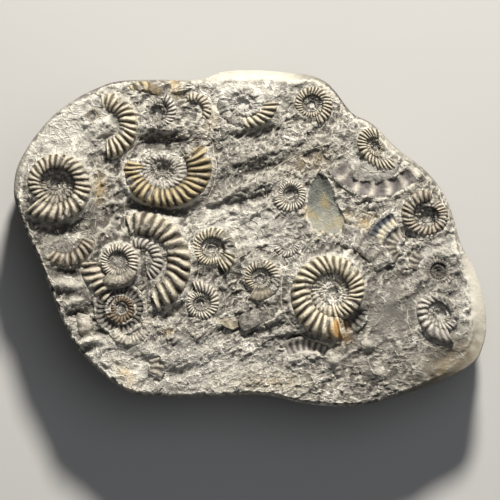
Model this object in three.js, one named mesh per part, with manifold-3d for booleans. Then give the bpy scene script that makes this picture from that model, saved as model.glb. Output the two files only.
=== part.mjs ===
// A block of fossil-bearing limestone, about the size of a hand, lying on its sawn underside.
// Its upper face shows many ribbed ammonites, each a solid of its own, set in a socket in the stone.
// Millimetres, +Z up. The origin is under the middle of the block, on the surface it lies on.
//
// Places on the upper face are given in the face's own axes, u to the right and v up, which
// FACE_TURN turns into the block's X (its long way) and Y.

import * as THREE from 'three';
import { mergeVertices } from 'three/addons/utils/BufferGeometryUtils.js';
import Module from 'manifold-3d';

const wasm = await Module();
wasm.setup();

// ---- The block ----

const BLOCK_LENGTH = 152;
const BLOCK_WIDTH = 112;
const BLOCK_HEIGHT = 37;
const FACE_TURN = THREE.MathUtils.degToRad(28);
const FACE_LEVEL = 31.6;
const SOCKET_GAP = 0.3;
const SOCKET_TOP = 20;

// The block's widest outline, clockwise in face axes: u, v and the width of the worn rim there.
const OUTLINE = [
  [-73.8, 19.6, 1.2], [-72.6, 26.5, 1.4], [-68.1, 34.4, 1.8], [-61.7, 41.8, 2.2],
  [-54.8, 46.8, 2.2], [-48.1, 50.1, 2.4], [-41.9, 52.0, 2.2], [-31.1, 52.4, 2.0],
  [-17.3, 52.4, 3.0], [-9.4, 54.7, 4.4], [-0.5, 55.1, 5.0], [8.2, 54.5, 4.6],
  [16.3, 53.5, 3.0], [21.2, 51.7, 1.6], [24.6, 48.7, 1.4], [30.1, 41.8, 1.4],
  [36.1, 38.6, 1.8], [43.9, 31.0, 2.0], [52.8, 24.1, 1.6], [58.2, 17.2, 1.4],
  [61.2, 10.3, 2.0], [63.7, 1.8, 3.2], [67.6, -5.1, 5.2], [70.6, -14.0, 6.6],
  [71.7, -22.8, 6.4], [70.6, -29.7, 6.0], [67.6, -34.7, 5.4], [58.7, -39.6, 4.2],
  [47.8, -43.5, 2.6], [37.0, -46.5, 1.8], [28.1, -47.6, 1.6], [16.3, -46.5, 1.4],
  [2.5, -43.8, 1.6], [-14.4, -44.4, 1.6], [-32.1, -44.0, 1.4], [-40.0, -41.6, 1.2],
  [-46.9, -36.6, 1.0], [-52.8, -30.7, 0.8], [-57.2, -23.8, 0.8], [-61.7, -13.0, 0.8],
  [-65.6, -3.1, 0.8], [-70.6, 7.8, 0.8], [-73.1, 14.7, 1.0],
];
const OUTLINE_STATIONS = 56;

// The side of the block, from its sawn underside to above its face: height, how far the side
// stands back from the widest outline, and what share of the rim's width is added to that.
const SIDE = [
  [0, 5.2, 0], [1.4, 3.1, 0], [6, 1.5, 0], [13, 0.2, 0], [20, 0, 0],
  [27, 0.4, 0.18], [30.2, 0.9, 0.6], [31.8, 1.2, 1.0], [44, 1.5, 1.05],
];

// ---- The upper face ----

// Lumps (rise above 0) and hollows (rise below 0): u, v, half length, half width, turn, rise.
const LUMPS = [
  [-28.3, 34.4, 7.2, 3.0, 5, -1.9],    // recess over the tan ammonite
  [-28.9, 13.6, 7.4, 2.4, 0, -2.4],    // hollow under the tan ammonite
  [-30.5, -20.6, 5.5, 2.4, 12, -1.6],  // hollow under the largest ammonite
  [-52.6, 0.2, 2.6, 2.6, 0, -2.2],     // gaps between broken ribs at the left
  [-61.1, -4.7, 4.5, 3.6, 20, 1.2],    // lump on the left edge
  [-60.0, 7.8, 7.5, 2.2, -10, -1.6],   // hollow under the left edge's ammonite
  [-31.0, 8.6, 9.0, 2.6, 8, 1.4],      // rough stone above the largest ammonite
  [-20.0, 37.5, 5.5, 3.6, 60, 1.3],    // knob between the two top ammonites
  [-9.0, 30.8, 7.0, 2.4, 20, -1.7],    // ledge's shadow side, left of the middle
  [2.0, 25.2, 12.0, 1.7, 20, -1.9],    // long furrows that slope up to the right
  [-2.0, 20.0, 11.0, 1.5, 20, 1.5],
  [3.5, 30.6, 10.0, 1.6, 18, 1.6],
  [-5.5, 15.0, 9.0, 1.4, 16, -1.3],
  [4.0, 36.6, 8.0, 1.6, 12, -1.6],     // hollow under the top ammonite
  [22.8, 13.0, 6.8, 8.6, 0, 0.9],      // swelling that carries the smooth shell plate
  [30.8, 20.6, 3.2, 2.6, 20, -2.0],    // scalloped mould, dark hollows of it
  [37.0, 19.0, 3.0, 2.4, 0, -1.6],
  [45.5, 20.4, 6.5, 2.6, -30, 1.3],    // flake with a ragged edge
  [58.0, -6.2, 4.4, 4.4, 0, -1.9],     // pit of the small coil
  [46.5, 3.0, 3.6, 6.0, 20, -1.2],
  [36.0, 10.5, 3.4, 2.0, 30, -1.8],
  [3.4, -24.6, 6.6, 1.8, 20, -2.3],    // slanting slot below the middle
  [6.2, -20.0, 5.0, 1.7, 20, 1.2],
  [15.9, -28.0, 7.4, 2.2, 0, -2.3],    // arched mould at the foot of the second largest
  [32.0, -22.6, 3.0, 4.6, -10, -2.2],  // fan mould beside it
  [17.0, -32.8, 6.5, 3.0, 5, 1.3],
  [35.8, -29.1, 3.4, 2.4, 10, 1.5],    // bumps of the lower right
  [38.5, -38.7, 4.2, 2.6, -20, 1.3],
  [25.2, -36.0, 3.4, 2.2, 0, 1.2],
  [53.1, -37.0, 4.2, 2.4, -15, 0.8],
  [43.0, -21.0, 8.0, 7.0, 0, -1.0],    // smooth mud-grey basin
  [-20.0, -31.0, 13.0, 5.0, 8, 1.2],   // broad swell of the lower left
  [-36.0, -33.0, 6.0, 3.2, -25, -1.1],
  [-4.0, -35.0, 8.0, 2.4, 10, -1.1],
  [-9.0, -24.0, 4.0, 2.0, 30, -1.2],
  [60.0, -33.0, 11.0, 8.0, -30, -1.6], // low, smooth lower right corner
  [2.0, 52.0, 14.0, 3.4, -3, -1.3],    // ground band along the top edge
];

// Short, shallow ripples that break up the face between the lumps.
const RIPPLES = [
  [0.36, 0.17, 0.4, 0.5], [-0.21, 0.43, 1.7, 0.45], [0.52, -0.31, 2.6, 0.35], [0.1, 0.62, 4.1, 0.3],
];

const FACE_GRID = 5.1;
const FACE_GRID_REACH = 92;
const DEEP_POINT = -420;

// ---- The ammonites ----

// Sizes of a coil as shares of its radius at that point of the spiral.
const CREST_REACH = 0.77;
const CREST_RISE = 0.25;
const SEAM_RISE = 0.085;
const RIB_REACH = 0.028;
const RIB_RISE = 0.05;
const ROOT_DEPTH = 1.5;
const LARGEST_RADIUS = 16.2;

// Whole coils. at: centre in face axes. radius: at the mouth. growth: how much larger each turn
// is than the one inside it. wound: which way the shell grows. mouth: its angle in degrees.
// level: height of the coil's middle plane. flat: how much it is squashed along v.
const COILS = [
  { name: 'ammonite_left_edge', at: [-61.8, 21.0], radius: 13.0, growth: 1.62, wound: 'cw', mouth: 225,
    ribs: 24, level: 32.4, stone: 'umber_calcite', shoulder: true },
  { name: 'ammonite_second_largest', at: [24.7, -12.7], radius: 14.8, growth: 1.72, wound: 'ccw',
    mouth: 283, ribs: 26, level: 32.4, flat: 1.0, stone: 'cream_calcite', shoulder: true },
  { name: 'ammonite_on_largest', at: [-42.3, -3.4], radius: 8.3, growth: 1.7, wound: 'cw', mouth: 238,
    ribs: 14, level: 33.6, stone: 'pale_calcite' },
  { name: 'ammonite_brown_core', at: [-41.3, -18.0], radius: 4.6, growth: 1.7, wound: 'cw', mouth: 200,
    ribs: 12, level: 31.7, stone: 'brown_calcite' },
  { name: 'ammonite_centre_left', at: [-13.2, 0.5], radius: 8.7, growth: 1.75, wound: 'cw', mouth: 300,
    ribs: 14, level: 32.2, stone: 'cream_calcite' },
  { name: 'ammonite_centre', at: [2.0, -8.3], radius: 7.8, growth: 1.7, wound: 'cw', mouth: 240,
    ribs: 14, level: 31.9, stone: 'pale_calcite' },
  { name: 'ammonite_below_centre', at: [-16.4, -16.2], radius: 7.0, growth: 1.7, wound: 'ccw', mouth: 110,
    ribs: 13, level: 31.8, stone: 'pale_calcite' },
  { name: 'ammonite_top', at: [-3.1, 45.0], radius: 11.0, growth: 1.7, wound: 'ccw', mouth: 5,
    ribs: 14, level: 31.2, flat: 0.78, stone: 'umber_calcite' },
  { name: 'ammonite_top_right', at: [17.3, 45.4], radius: 6.7, growth: 1.6, wound: 'cw', mouth: 290,
    ribs: 14, level: 31.0, flat: 0.9, stone: 'pale_calcite' },
  { name: 'ammonite_right_shoulder', at: [37.6, 33.2], radius: 8.0, growth: 1.7, wound: 'ccw', mouth: 318,
    ribs: 14, level: 31.8, flat: 0.96, stone: 'umber_calcite' },
  { name: 'ammonite_right', at: [53.6, 11.7], radius: 7.6, growth: 1.6, wound: 'cw', mouth: 80,
    ribs: 14, level: 31.6, flat: 0.95, stone: 'brown_calcite' },
  { name: 'ammonite_in_pit', at: [57.3, -6.3], radius: 3.3, growth: 1.7, wound: 'ccw', mouth: 330,
    ribs: 10, level: 30.4, stone: 'pale_calcite' },
  { name: 'ammonite_right_rim', at: [58.0, -19.6], radius: 9.2, growth: 1.75, wound: 'ccw', mouth: 300,
    ribs: 14, level: 31.0, flat: 1.0, stone: 'grey_calcite' },
  { name: 'ammonite_upper_middle', at: [11.4, 17.9], radius: 5.6, growth: 1.6, wound: 'cw', mouth: 200,
    ribs: 14, level: 31.7, stone: 'pale_calcite' },
  { name: 'ammonite_middle', at: [10.6, 2.4], radius: 4.9, growth: 1.6, wound: 'cw', mouth: 250,
    ribs: 12, level: 31.6, stone: 'grey_calcite' },
  { name: 'ammonite_small_top_left', at: [-51.0, 41.6], radius: 3.5, growth: 1.6, wound: 'cw', mouth: 180,
    ribs: 10, level: 31.2, stone: 'grey_calcite' },
  { name: 'ammonite_weathered', at: [-28.9, 43.4], radius: 5.2, growth: 1.6, wound: 'ccw', mouth: 20,
    ribs: 12, level: 31.4, stone: 'grey_calcite' },
  { name: 'ammonite_worn_top', at: [-17.8, 44.8], radius: 4.8, growth: 1.6, wound: 'cw', mouth: 250,
    ribs: 10, level: 31.1, stone: 'grey_calcite' },
];

// Parts of whorls whose other parts are gone or hidden. from and to: angles in degrees, anticlockwise.
// section: reach and rise of the cross-section's top, outside to inside, as shares of the radius.
const WHORL_SECTION = [[1, 0.07], [0.78, CREST_RISE], [0.55, 0.07]];
const SMOOTH_SECTION = [[1, 0.05], [0.8, 0.17], [0.6, 0.05]];
const WHORLS = [
  { name: 'ammonite_largest', at: [-35.4, -2.7], radius: LARGEST_RADIUS, from: -64, to: 104, ribs: 26,
    level: BLOCK_HEIGHT - (CREST_RISE + RIB_RISE) * LARGEST_RADIUS,
    section: [[1, 0.06], [0.8, CREST_RISE], [0.59, 0.08], [0.4, 0.15], [0.27, 0.03]],
    stone: 'cream_calcite' },
  { name: 'ammonite_tan', at: [-27.8, 25.8], radius: 14.6, from: -212, to: 42, ribs: 27, level: 32.2,
    section: [[1, 0.06], [0.77, 0.28], [0.5, 0.05]], flat: 0.85, stone: 'tan_calcite' },
  { name: 'ammonite_top_left', at: [-45.8, 38.2], radius: 10.4, from: -92, to: 96, ribs: 26, level: 31.8,
    section: WHORL_SECTION, stone: 'tan_calcite' },
  { name: 'whorl_left_of_largest', at: [-35.4, -2.7], radius: 16.4, from: 180, to: 218, ribs: 26,
    level: 31.5, section: WHORL_SECTION, stone: 'tan_calcite' },
  { name: 'whorl_pale', at: [-37.9, -22.3], radius: 7.0, from: 214, to: 356, ribs: 18, level: 31.0,
    section: WHORL_SECTION, stone: 'pale_calcite' },
  { name: 'whorl_right_of_middle', at: [36.2, -3.2], radius: 11.8, from: 10, to: 66, ribs: 22, level: 31.3,
    section: SMOOTH_SECTION, stone: 'grey_calcite' },
  { name: 'whorl_strip', at: [27.0, -4.0], radius: 19.6, from: 18, to: 44, ribs: 36, level: 31.9,
    section: [[1, 0.03], [0.93, 0.13], [0.85, 0.03]], stone: 'cream_calcite' },
  { name: 'whorl_top_edge', at: [-33.2, 42.0], radius: 9.2, from: 62, to: 122, ribs: 14, level: 31.0,
    section: [[1, 0.04], [0.82, 0.18], [0.62, 0.05]], stone: 'cream_calcite' },
  { name: 'whorl_left_rim', at: [-44.4, -21.6], radius: 10.4, from: 166, to: 214, ribs: 14, level: 30.9,
    section: WHORL_SECTION, stone: 'umber_calcite' },
];

// The smooth leaf-shaped piece of a large shell: its edge, and the swell of its middle.
const PLATE = {
  name: 'shell_plate', level: 32.4, root: 1.6, swell: 1.9, middle: [21.9, 12.2], stone: 'olive_shell',
  edge: [[20.4, 24.2], [23.6, 20.2], [27.4, 15.0], [29.2, 9.8], [26.2, 6.6], [22.1, 5.4],
    [18.8, 7.6], [16.8, 11.7], [17.6, 17.2]],
};

const STONES = {
  limestone: { color: '#8f887a', roughness: 0.92 },
  cream_calcite: { color: '#b5a788', roughness: 0.68 },
  pale_calcite: { color: '#a8a294', roughness: 0.76 },
  grey_calcite: { color: '#8a8780', roughness: 0.78 },
  tan_calcite: { color: '#9c8456', roughness: 0.66 },
  umber_calcite: { color: '#87795f', roughness: 0.72 },
  brown_calcite: { color: '#7a5d42', roughness: 0.66 },
  olive_shell: { color: '#6f6a57', roughness: 0.5 },
};
const materials = {};
for (const [name, look] of Object.entries(STONES)) {
  materials[name] = new THREE.MeshStandardMaterial({ ...look, metalness: 0, flatShading: true });
}

// ---- Helpers ----

const radians = THREE.MathUtils.degToRad;

function meshGeometry(points, triangles) {
  const geometry = new THREE.BufferGeometry();
  geometry.setAttribute('position', new THREE.Float32BufferAttribute(points.flat(), 3));
  geometry.setIndex(triangles.flat());
  return geometry;
}

function toSolid(geometry) {
  const bare = geometry.clone();
  bare.deleteAttribute('normal');
  bare.deleteAttribute('uv');
  const merged = mergeVertices(bare, 1e-4);
  return new wasm.Manifold(new wasm.Mesh({
    numProp: 3,
    vertProperties: merged.attributes.position.array,
    triVerts: new Uint32Array(merged.index.array),
  }));
}

function fromSolid(solid) {
  const mesh = solid.getMesh();
  const geometry = new THREE.BufferGeometry();
  geometry.setAttribute('position', new THREE.BufferAttribute(mesh.vertProperties, 3));
  geometry.setIndex(new THREE.BufferAttribute(mesh.triVerts, 1));
  geometry.computeVertexNormals();
  return geometry;
}

// ---- The stone ----

// The outline as stations in face axes, fitted so that the turned block is its exact length and
// width about the origin. Each station keeps its rim width and its outward normal.
function outlineStations() {
  const knots = OUTLINE.map(([u, v, rim]) => new THREE.Vector3(u, v, rim));
  const curve = new THREE.CatmullRomCurve3(knots, true, 'centripetal');
  const turn = new THREE.Matrix4().makeRotationZ(FACE_TURN);
  const turned = curve.getSpacedPoints(OUTLINE_STATIONS).slice(0, -1).map((p) => p.applyMatrix4(turn));
  const box = new THREE.Box3().setFromPoints(turned);
  const middle = box.getCenter(new THREE.Vector3());
  const size = box.getSize(new THREE.Vector3());
  const stations = turned.map((p) => ({
    x: (p.x - middle.x) * BLOCK_LENGTH / size.x,
    y: (p.y - middle.y) * BLOCK_WIDTH / size.y,
    rim: p.z,
  }));
  const count = stations.length;
  stations.forEach((station, i) => {
    const before = stations[(i + count - 1) % count];
    const after = stations[(i + 1) % count];
    station.normal = new THREE.Vector2(before.y - after.y, after.x - before.x).normalize();
  });
  return stations;
}

// The block's body in its own X and Y: one ring of stations for each height of the side.
function blockBody() {
  const stations = outlineStations();
  const count = stations.length;
  const points = [];
  for (const [height, back, rimShare] of SIDE) {
    for (const { x, y, rim, normal } of stations) {
      const inset = back + rimShare * rim;
      points.push([x - inset * normal.x, y - inset * normal.y, height]);
    }
  }
  const lowMiddle = points.push([0, 0, SIDE[0][0]]) - 1;
  const highMiddle = points.push([0, 0, SIDE.at(-1)[0]]) - 1;
  const triangles = [];
  for (let i = 0; i < count; i += 1) {
    const next = (i + 1) % count;
    const top = (SIDE.length - 1) * count;
    triangles.push([lowMiddle, i, next], [highMiddle, top + next, top + i]);
    for (let ring = 0; ring < SIDE.length - 1; ring += 1) {
      const low = ring * count;
      const high = low + count;
      triangles.push([low + i, high + i, low + next], [low + next, high + i, high + next]);
    }
  }
  return toSolid(meshGeometry(points, triangles));
}

function faceHeight(u, v) {
  let height = FACE_LEVEL;
  for (const [cu, cv, halfLength, halfWidth, turn, rise] of LUMPS) {
    const angle = radians(turn);
    const along = ((u - cu) * Math.cos(angle) + (v - cv) * Math.sin(angle)) / halfLength;
    const across = ((v - cv) * Math.cos(angle) - (u - cu) * Math.sin(angle)) / halfWidth;
    height += rise * Math.exp(-along * along - across * across);
  }
  for (const [ku, kv, phase, rise] of RIPPLES) {
    height += rise * Math.sin(ku * u + kv * v + phase);
  }
  return height;
}

// Everything below the relief of the face: a staggered grid, closed down to one deep point.
function belowFace() {
  const columns = Math.ceil(2 * FACE_GRID_REACH / FACE_GRID);
  const rowStep = FACE_GRID * Math.sqrt(3) / 2;
  const rows = Math.ceil(2 * FACE_GRID_REACH / rowStep);
  const points = [];
  for (let row = 0; row <= rows; row += 1) {
    for (let column = 0; column <= columns; column += 1) {
      const u = -FACE_GRID_REACH + (column + (row % 2) / 2) * FACE_GRID;
      const v = -FACE_GRID_REACH + row * rowStep;
      points.push([u, v, faceHeight(u, v)]);
    }
  }
  const deep = points.push([0, 0, DEEP_POINT]) - 1;
  const at = (row, column) => row * (columns + 1) + column;
  const triangles = [];
  for (let row = 0; row < rows; row += 1) {
    for (let column = 0; column < columns; column += 1) {
      const [a, b] = [at(row, column), at(row, column + 1)];
      const [c, d] = [at(row + 1, column), at(row + 1, column + 1)];
      if (row % 2 === 0) {
        triangles.push([a, b, c], [b, d, c]);
      } else {
        triangles.push([a, b, d], [a, d, c]);
      }
    }
    triangles.push([at(row + 1, 0), deep, at(row, 0)]);
    triangles.push([at(row, columns), deep, at(row + 1, columns)]);
  }
  for (let column = 0; column < columns; column += 1) {
    triangles.push([at(0, column), deep, at(0, column + 1)]);
    triangles.push([at(rows, column + 1), deep, at(rows, column)]);
  }
  return toSolid(meshGeometry(points, triangles).rotateZ(FACE_TURN));
}

// ---- Shells ----

// Where a coil or whorl sits: its middle plane's place and turn, in the block's own axes.
function shellPlace(shell) {
  const squash = new THREE.Matrix4().makeScale(1, shell.flat ?? 1, 1);
  const place = new THREE.Matrix4().makeTranslation(shell.at[0], shell.at[1], shell.level);
  return new THREE.Matrix4().makeRotationZ(FACE_TURN).multiply(place).multiply(squash);
}

// A whole coil, built as a spiral strip of stations that alternate between rib and groove. Station
// n lies one step inward along the spiral, and the seam inside a whorl at station n is the seam
// outside the next whorl at station n + perTurn, so the two share their points.
function coilGeometry({ radius, growth, wound, mouth, ribs, shoulder }) {
  const perTurn = 2 * ribs;
  const hand = wound === 'cw' ? 1 : -1;
  const points = [];
  const indexOf = new Map();
  const radiusAt = (n) => radius * growth ** (-n / perTurn);
  const ribAt = (n) => (n % 2 === 0 ? 1 : 0);

  function point(row, n) {
    const key = `${row} ${n}`;
    if (!indexOf.has(key)) {
      const size = radiusAt(n);
      const rib = n <= perTurn ? ribAt(n) : 0.5;
      const rows = {
        root: [1 + rib * RIB_REACH, null],
        seam: [n < perTurn ? 1 + rib * RIB_REACH : 1, SEAM_RISE],
        crest: [CREST_REACH, CREST_RISE + rib * RIB_RISE],
      };
      const [reach, rise] = rows[row];
      const angle = radians(mouth) + hand * 2 * Math.PI * n / perTurn;
      const height = rise === null ? -ROOT_DEPTH : rise * size;
      const distance = reach * size;
      points.push([distance * Math.cos(angle), distance * Math.sin(angle), height]);
      indexOf.set(key, points.length - 1);
    }
    return indexOf.get(key);
  }

  const triangles = [];
  const outerRow = shoulder ? 'seam' : 'root';
  for (let n = 0; n < perTurn; n += 1) {
    if (shoulder) {
      triangles.push([point('root', n), point('root', n + 1), point('seam', n)]);
      triangles.push([point('root', n + 1), point('seam', n + 1), point('seam', n)]);
    }
    triangles.push([point(outerRow, n), point(outerRow, n + 1), point('crest', n)]);
    triangles.push([point(outerRow, n + 1), point('crest', n + 1), point('crest', n)]);
    triangles.push([point('crest', n), point('crest', n + 1), point('seam', n + perTurn)]);
    triangles.push([point('crest', n + 1), point('seam', n + 1 + perTurn), point('seam', n + perTurn)]);
  }
  for (let n = perTurn; n < 2 * perTurn; n += 2) {
    triangles.push([point('seam', n), point('seam', n + 1), point('crest', n)]);
    triangles.push([point('seam', n + 1), point('crest', n + 2), point('crest', n)]);
    triangles.push([point('seam', n + 1), point('seam', n + 2), point('crest', n + 2)]);
    const inner = n + perTurn;
    triangles.push([point('crest', n), point('crest', n + 2), point('seam', inner)]);
    triangles.push([point('crest', n + 2), point('seam', inner + 2), point('seam', inner)]);
  }

  const middle = points.push([0, 0, 0]) - 1;
  for (let n = 2 * perTurn; n < 3 * perTurn; n += 2) {
    triangles.push([point('seam', n), point('seam', n + 2), middle]);
  }
  triangles.push([point('seam', 3 * perTurn), point('crest', 2 * perTurn), middle]);
  triangles.push([point('crest', 2 * perTurn), point('seam', 2 * perTurn), middle]);

  // The open mouth, and the flat underside, whose middle lies on the side the strip starts from.
  const mouthRing = [point('root', 0)];
  if (shoulder) {
    mouthRing.push(point('seam', 0));
  }
  mouthRing.push(point('crest', 0), point('seam', perTurn), point('root', perTurn));
  for (let i = 1; i < mouthRing.length - 1; i += 1) {
    triangles.push([mouthRing[0], mouthRing[i], mouthRing[i + 1]]);
  }
  if (!shoulder) {
    triangles.push([point('root', perTurn), point('seam', perTurn), point('crest', perTurn)]);
  }
  const side = radians(mouth) + hand * Math.PI / 2;
  const offset = 0.2 * radius;
  const under = points.push([offset * Math.cos(side), offset * Math.sin(side), -ROOT_DEPTH]) - 1;
  for (let n = 0; n < perTurn; n += 1) {
    triangles.push([under, point('root', n + 1), point('root', n)]);
  }
  triangles.push([under, point('root', 0), point('root', perTurn)]);
  if (hand < 0) {
    triangles.forEach((triangle) => triangle.reverse());
  }
  return meshGeometry(points, triangles);
}

// The socket of a coil: its spiral outline with the gap added, from under its root to open air.
function coilSocket({ radius, growth, wound, mouth }) {
  const sides = radius < 6 ? 8 : 11;
  const hand = wound === 'cw' ? 1 : -1;
  const reachOut = (1 + RIB_REACH) / Math.cos(Math.PI / sides);
  const corners = [];
  for (let i = 0; i <= sides; i += 1) {
    const distance = radius * growth ** (-i / sides) * reachOut + SOCKET_GAP;
    const step = i === 0 || i === sides ? -SOCKET_GAP / distance : 0;
    const angle = radians(mouth) + hand * (2 * Math.PI * i / sides + step);
    corners.push([distance * Math.cos(angle), distance * Math.sin(angle)]);
  }
  return prism(corners, hand > 0);
}

function prism(corners, anticlockwise) {
  const ring = anticlockwise ? corners : corners.slice().reverse();
  const shape = new THREE.Shape(ring.map(([x, y]) => new THREE.Vector2(x, y)));
  const depth = SOCKET_TOP + ROOT_DEPTH + SOCKET_GAP;
  const geometry = new THREE.ExtrudeGeometry(shape, { depth, bevelEnabled: false, steps: 1 });
  return geometry.translate(0, 0, -ROOT_DEPTH - SOCKET_GAP);
}

// Part of a whorl: its cross-section carried round an arc, with a wall at each end.
function whorlGeometry({ radius, from, to, ribs, section }) {
  const steps = Math.round((to - from) / 360 * 2 * ribs);
  const points = [];
  const [outer, inner] = [section[0], section.at(-1)];
  const ringSize = section.length + 2;
  for (let n = 0; n <= steps; n += 1) {
    const angle = radians(from + (to - from) * n / steps);
    const rib = n % 2;
    const place = (reach, height) => {
      points.push([radius * reach * Math.cos(angle), radius * reach * Math.sin(angle), height]);
    };
    place(outer[0] + rib * RIB_REACH, -ROOT_DEPTH);
    section.forEach(([reach, rise], i) => {
      const stout = i === 0 ? rib * RIB_REACH : 0;
      const tall = i % 2 * rib * RIB_RISE;
      place(reach + stout, radius * (rise + tall));
    });
    place(inner[0], -ROOT_DEPTH);
  }
  const triangles = [];
  for (let n = 0; n < steps; n += 1) {
    for (let k = 0; k < ringSize; k += 1) {
      const [a, b] = [n * ringSize + k, n * ringSize + (k + 1) % ringSize];
      const [c, d] = [a + ringSize, b + ringSize];
      triangles.push([a, c, b], [b, c, d]);
    }
  }
  const last = steps * ringSize;
  const cap = THREE.ShapeUtils.triangulateShape(capOutline(points.slice(0, ringSize)), []);
  for (const [a, b, c] of cap) {
    triangles.push([a, b, c], [last + a, last + c, last + b]);
  }
  return meshGeometry(points, triangles);
}

// A cross-section seen flat: distance from the coil's axis, and height.
function capOutline(ring) {
  return ring.map(([x, y, z]) => new THREE.Vector2(Math.hypot(x, y), z));
}

function whorlSocket({ radius, from, to, section }) {
  const sides = Math.max(3, Math.round((to - from) / 24));
  const half = radians((to - from) / sides / 2);
  const outside = radius * (section[0][0] + RIB_REACH) / Math.cos(half) + SOCKET_GAP;
  const inside = radius * section.at(-1)[0] - SOCKET_GAP;
  const corners = [];
  for (const [distance, first, step] of [[outside, 0, 1], [inside, sides, -1]]) {
    for (let i = 0; i <= sides; i += 1) {
      const n = first + step * i;
      const past = n === 0 ? -SOCKET_GAP / distance : (n === sides ? SOCKET_GAP / distance : 0);
      const angle = radians(from + (to - from) * n / sides) + past;
      corners.push([distance * Math.cos(angle), distance * Math.sin(angle)]);
    }
  }
  return prism(corners, true);
}

// The plate's edge, turned into rings that rise to its swollen middle.
function plateGeometry({ edge, middle, root, swell }) {
  const around = edge.slice().reverse();
  const count = around.length;
  const rings = [[1, -root], [1, 0], [0.55, 0.72 * swell]];
  const points = [];
  for (const [share, height] of rings) {
    for (const [u, v] of around) {
      points.push([middle[0] + share * (u - middle[0]), middle[1] + share * (v - middle[1]), height]);
    }
  }
  const under = points.push([middle[0], middle[1], -root]) - 1;
  const top = points.push([middle[0], middle[1], swell]) - 1;
  const triangles = [];
  for (let i = 0; i < count; i += 1) {
    const next = (i + 1) % count;
    triangles.push([under, next, i], [top, 2 * count + i, 2 * count + next]);
    for (const low of [0, count]) {
      triangles.push([low + i, low + next, low + count + i]);
      triangles.push([low + next, low + count + next, low + count + i]);
    }
  }
  return meshGeometry(points, triangles);
}

function plateSocket({ edge, middle }) {
  const corners = edge.slice().reverse().map(([u, v]) => {
    const out = new THREE.Vector2(u - middle[0], v - middle[1]);
    out.setLength(out.length() + 2 * SOCKET_GAP);
    return [middle[0] + out.x, middle[1] + out.y];
  });
  return prism(corners, true);
}

// ---- Assembly ----

const block = new THREE.Group();
block.name = 'ammonite_block';

function addPiece(name, solid, stone) {
  const mesh = new THREE.Mesh(fromSolid(solid), materials[stone]);
  mesh.name = name;
  block.add(mesh);
}

// Every shell as a solid with the tool that cuts its socket, both in the block's own axes.
function placed(shell, geometry, socket) {
  const place = shellPlace(shell);
  return {
    name: shell.name,
    stone: shell.stone,
    solid: toSolid(geometry.applyMatrix4(place)),
    socket: toSolid(socket.applyMatrix4(place)),
  };
}

const coils = COILS.map((coil) => placed(coil, coilGeometry(coil), coilSocket(coil)));
const whorls = WHORLS.map((whorl) => placed(whorl, whorlGeometry(whorl), whorlSocket(whorl)));
const plate = placed({ ...PLATE, at: [0, 0] }, plateGeometry(PLATE), plateSocket(PLATE));

const shells = [...coils, ...whorls, plate];

// The worn rim cuts the shells at the edge too. Where two shells meet, the one listed first lies
// on top, and the other is cut back for its socket.
const body = blockBody();
shells.forEach((lower, i) => {
  lower.solid = lower.solid.intersect(body);
  for (const upper of shells.slice(0, i)) {
    lower.solid = lower.solid.subtract(upper.socket);
  }
});

let stone = body.intersect(belowFace());
for (const { socket } of shells) {
  stone = stone.subtract(socket);
}

addPiece('limestone_matrix', stone, 'limestone');
for (const shell of shells) {
  addPiece(shell.name, shell.solid, shell.stone);
}

export default block;
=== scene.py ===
import math
import random
from functools import partial

import bpy
import numpy as np
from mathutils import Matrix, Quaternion, Vector, noise
from mathutils.bvhtree import BVHTree


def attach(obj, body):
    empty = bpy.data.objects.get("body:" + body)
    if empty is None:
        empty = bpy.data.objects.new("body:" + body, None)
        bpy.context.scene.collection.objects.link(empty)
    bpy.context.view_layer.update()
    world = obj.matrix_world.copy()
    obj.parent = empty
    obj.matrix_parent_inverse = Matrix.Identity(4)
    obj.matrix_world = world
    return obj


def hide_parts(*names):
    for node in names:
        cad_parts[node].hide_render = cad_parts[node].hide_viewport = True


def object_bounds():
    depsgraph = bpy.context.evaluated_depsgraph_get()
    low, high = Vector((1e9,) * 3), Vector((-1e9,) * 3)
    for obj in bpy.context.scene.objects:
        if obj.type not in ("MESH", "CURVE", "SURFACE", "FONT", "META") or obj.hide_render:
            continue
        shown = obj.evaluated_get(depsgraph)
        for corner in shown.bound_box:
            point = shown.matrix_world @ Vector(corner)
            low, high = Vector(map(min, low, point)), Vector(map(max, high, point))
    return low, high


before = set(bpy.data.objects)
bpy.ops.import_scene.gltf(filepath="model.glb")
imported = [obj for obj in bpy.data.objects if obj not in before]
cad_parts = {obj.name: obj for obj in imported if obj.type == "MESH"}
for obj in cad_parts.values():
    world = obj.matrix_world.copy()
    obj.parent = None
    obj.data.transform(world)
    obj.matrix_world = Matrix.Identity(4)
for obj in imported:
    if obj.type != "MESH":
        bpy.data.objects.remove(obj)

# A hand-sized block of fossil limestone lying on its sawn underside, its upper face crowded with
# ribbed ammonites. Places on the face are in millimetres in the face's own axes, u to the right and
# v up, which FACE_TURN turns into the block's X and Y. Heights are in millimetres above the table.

cad_low, cad_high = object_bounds()

MM = 0.001
FULL_TURN = 2 * math.pi
FACE_TURN = math.radians(28)
FACE_SCALE = 0.9865      # brings the face's measures to the block's stated length
FACE_LEVEL = 31.6
BLOCK_LENGTH = (cad_high.x - cad_low.x) / MM
BLOCK_WIDTH = (cad_high.y - cad_low.y) / MM

# ---- Small helpers ----------------------------------------------------------------------------


def linear(hex_colour):
    """An sRGB hex colour as the linear colour that a node socket takes."""
    channels = [int(hex_colour[i:i + 2], 16) / 255 for i in (1, 3, 5)]
    flat = [c / 12.92 if c <= 0.04045 else ((c + 0.055) / 1.055) ** 2.4 for c in channels]
    return (*flat, 1.0)


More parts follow.
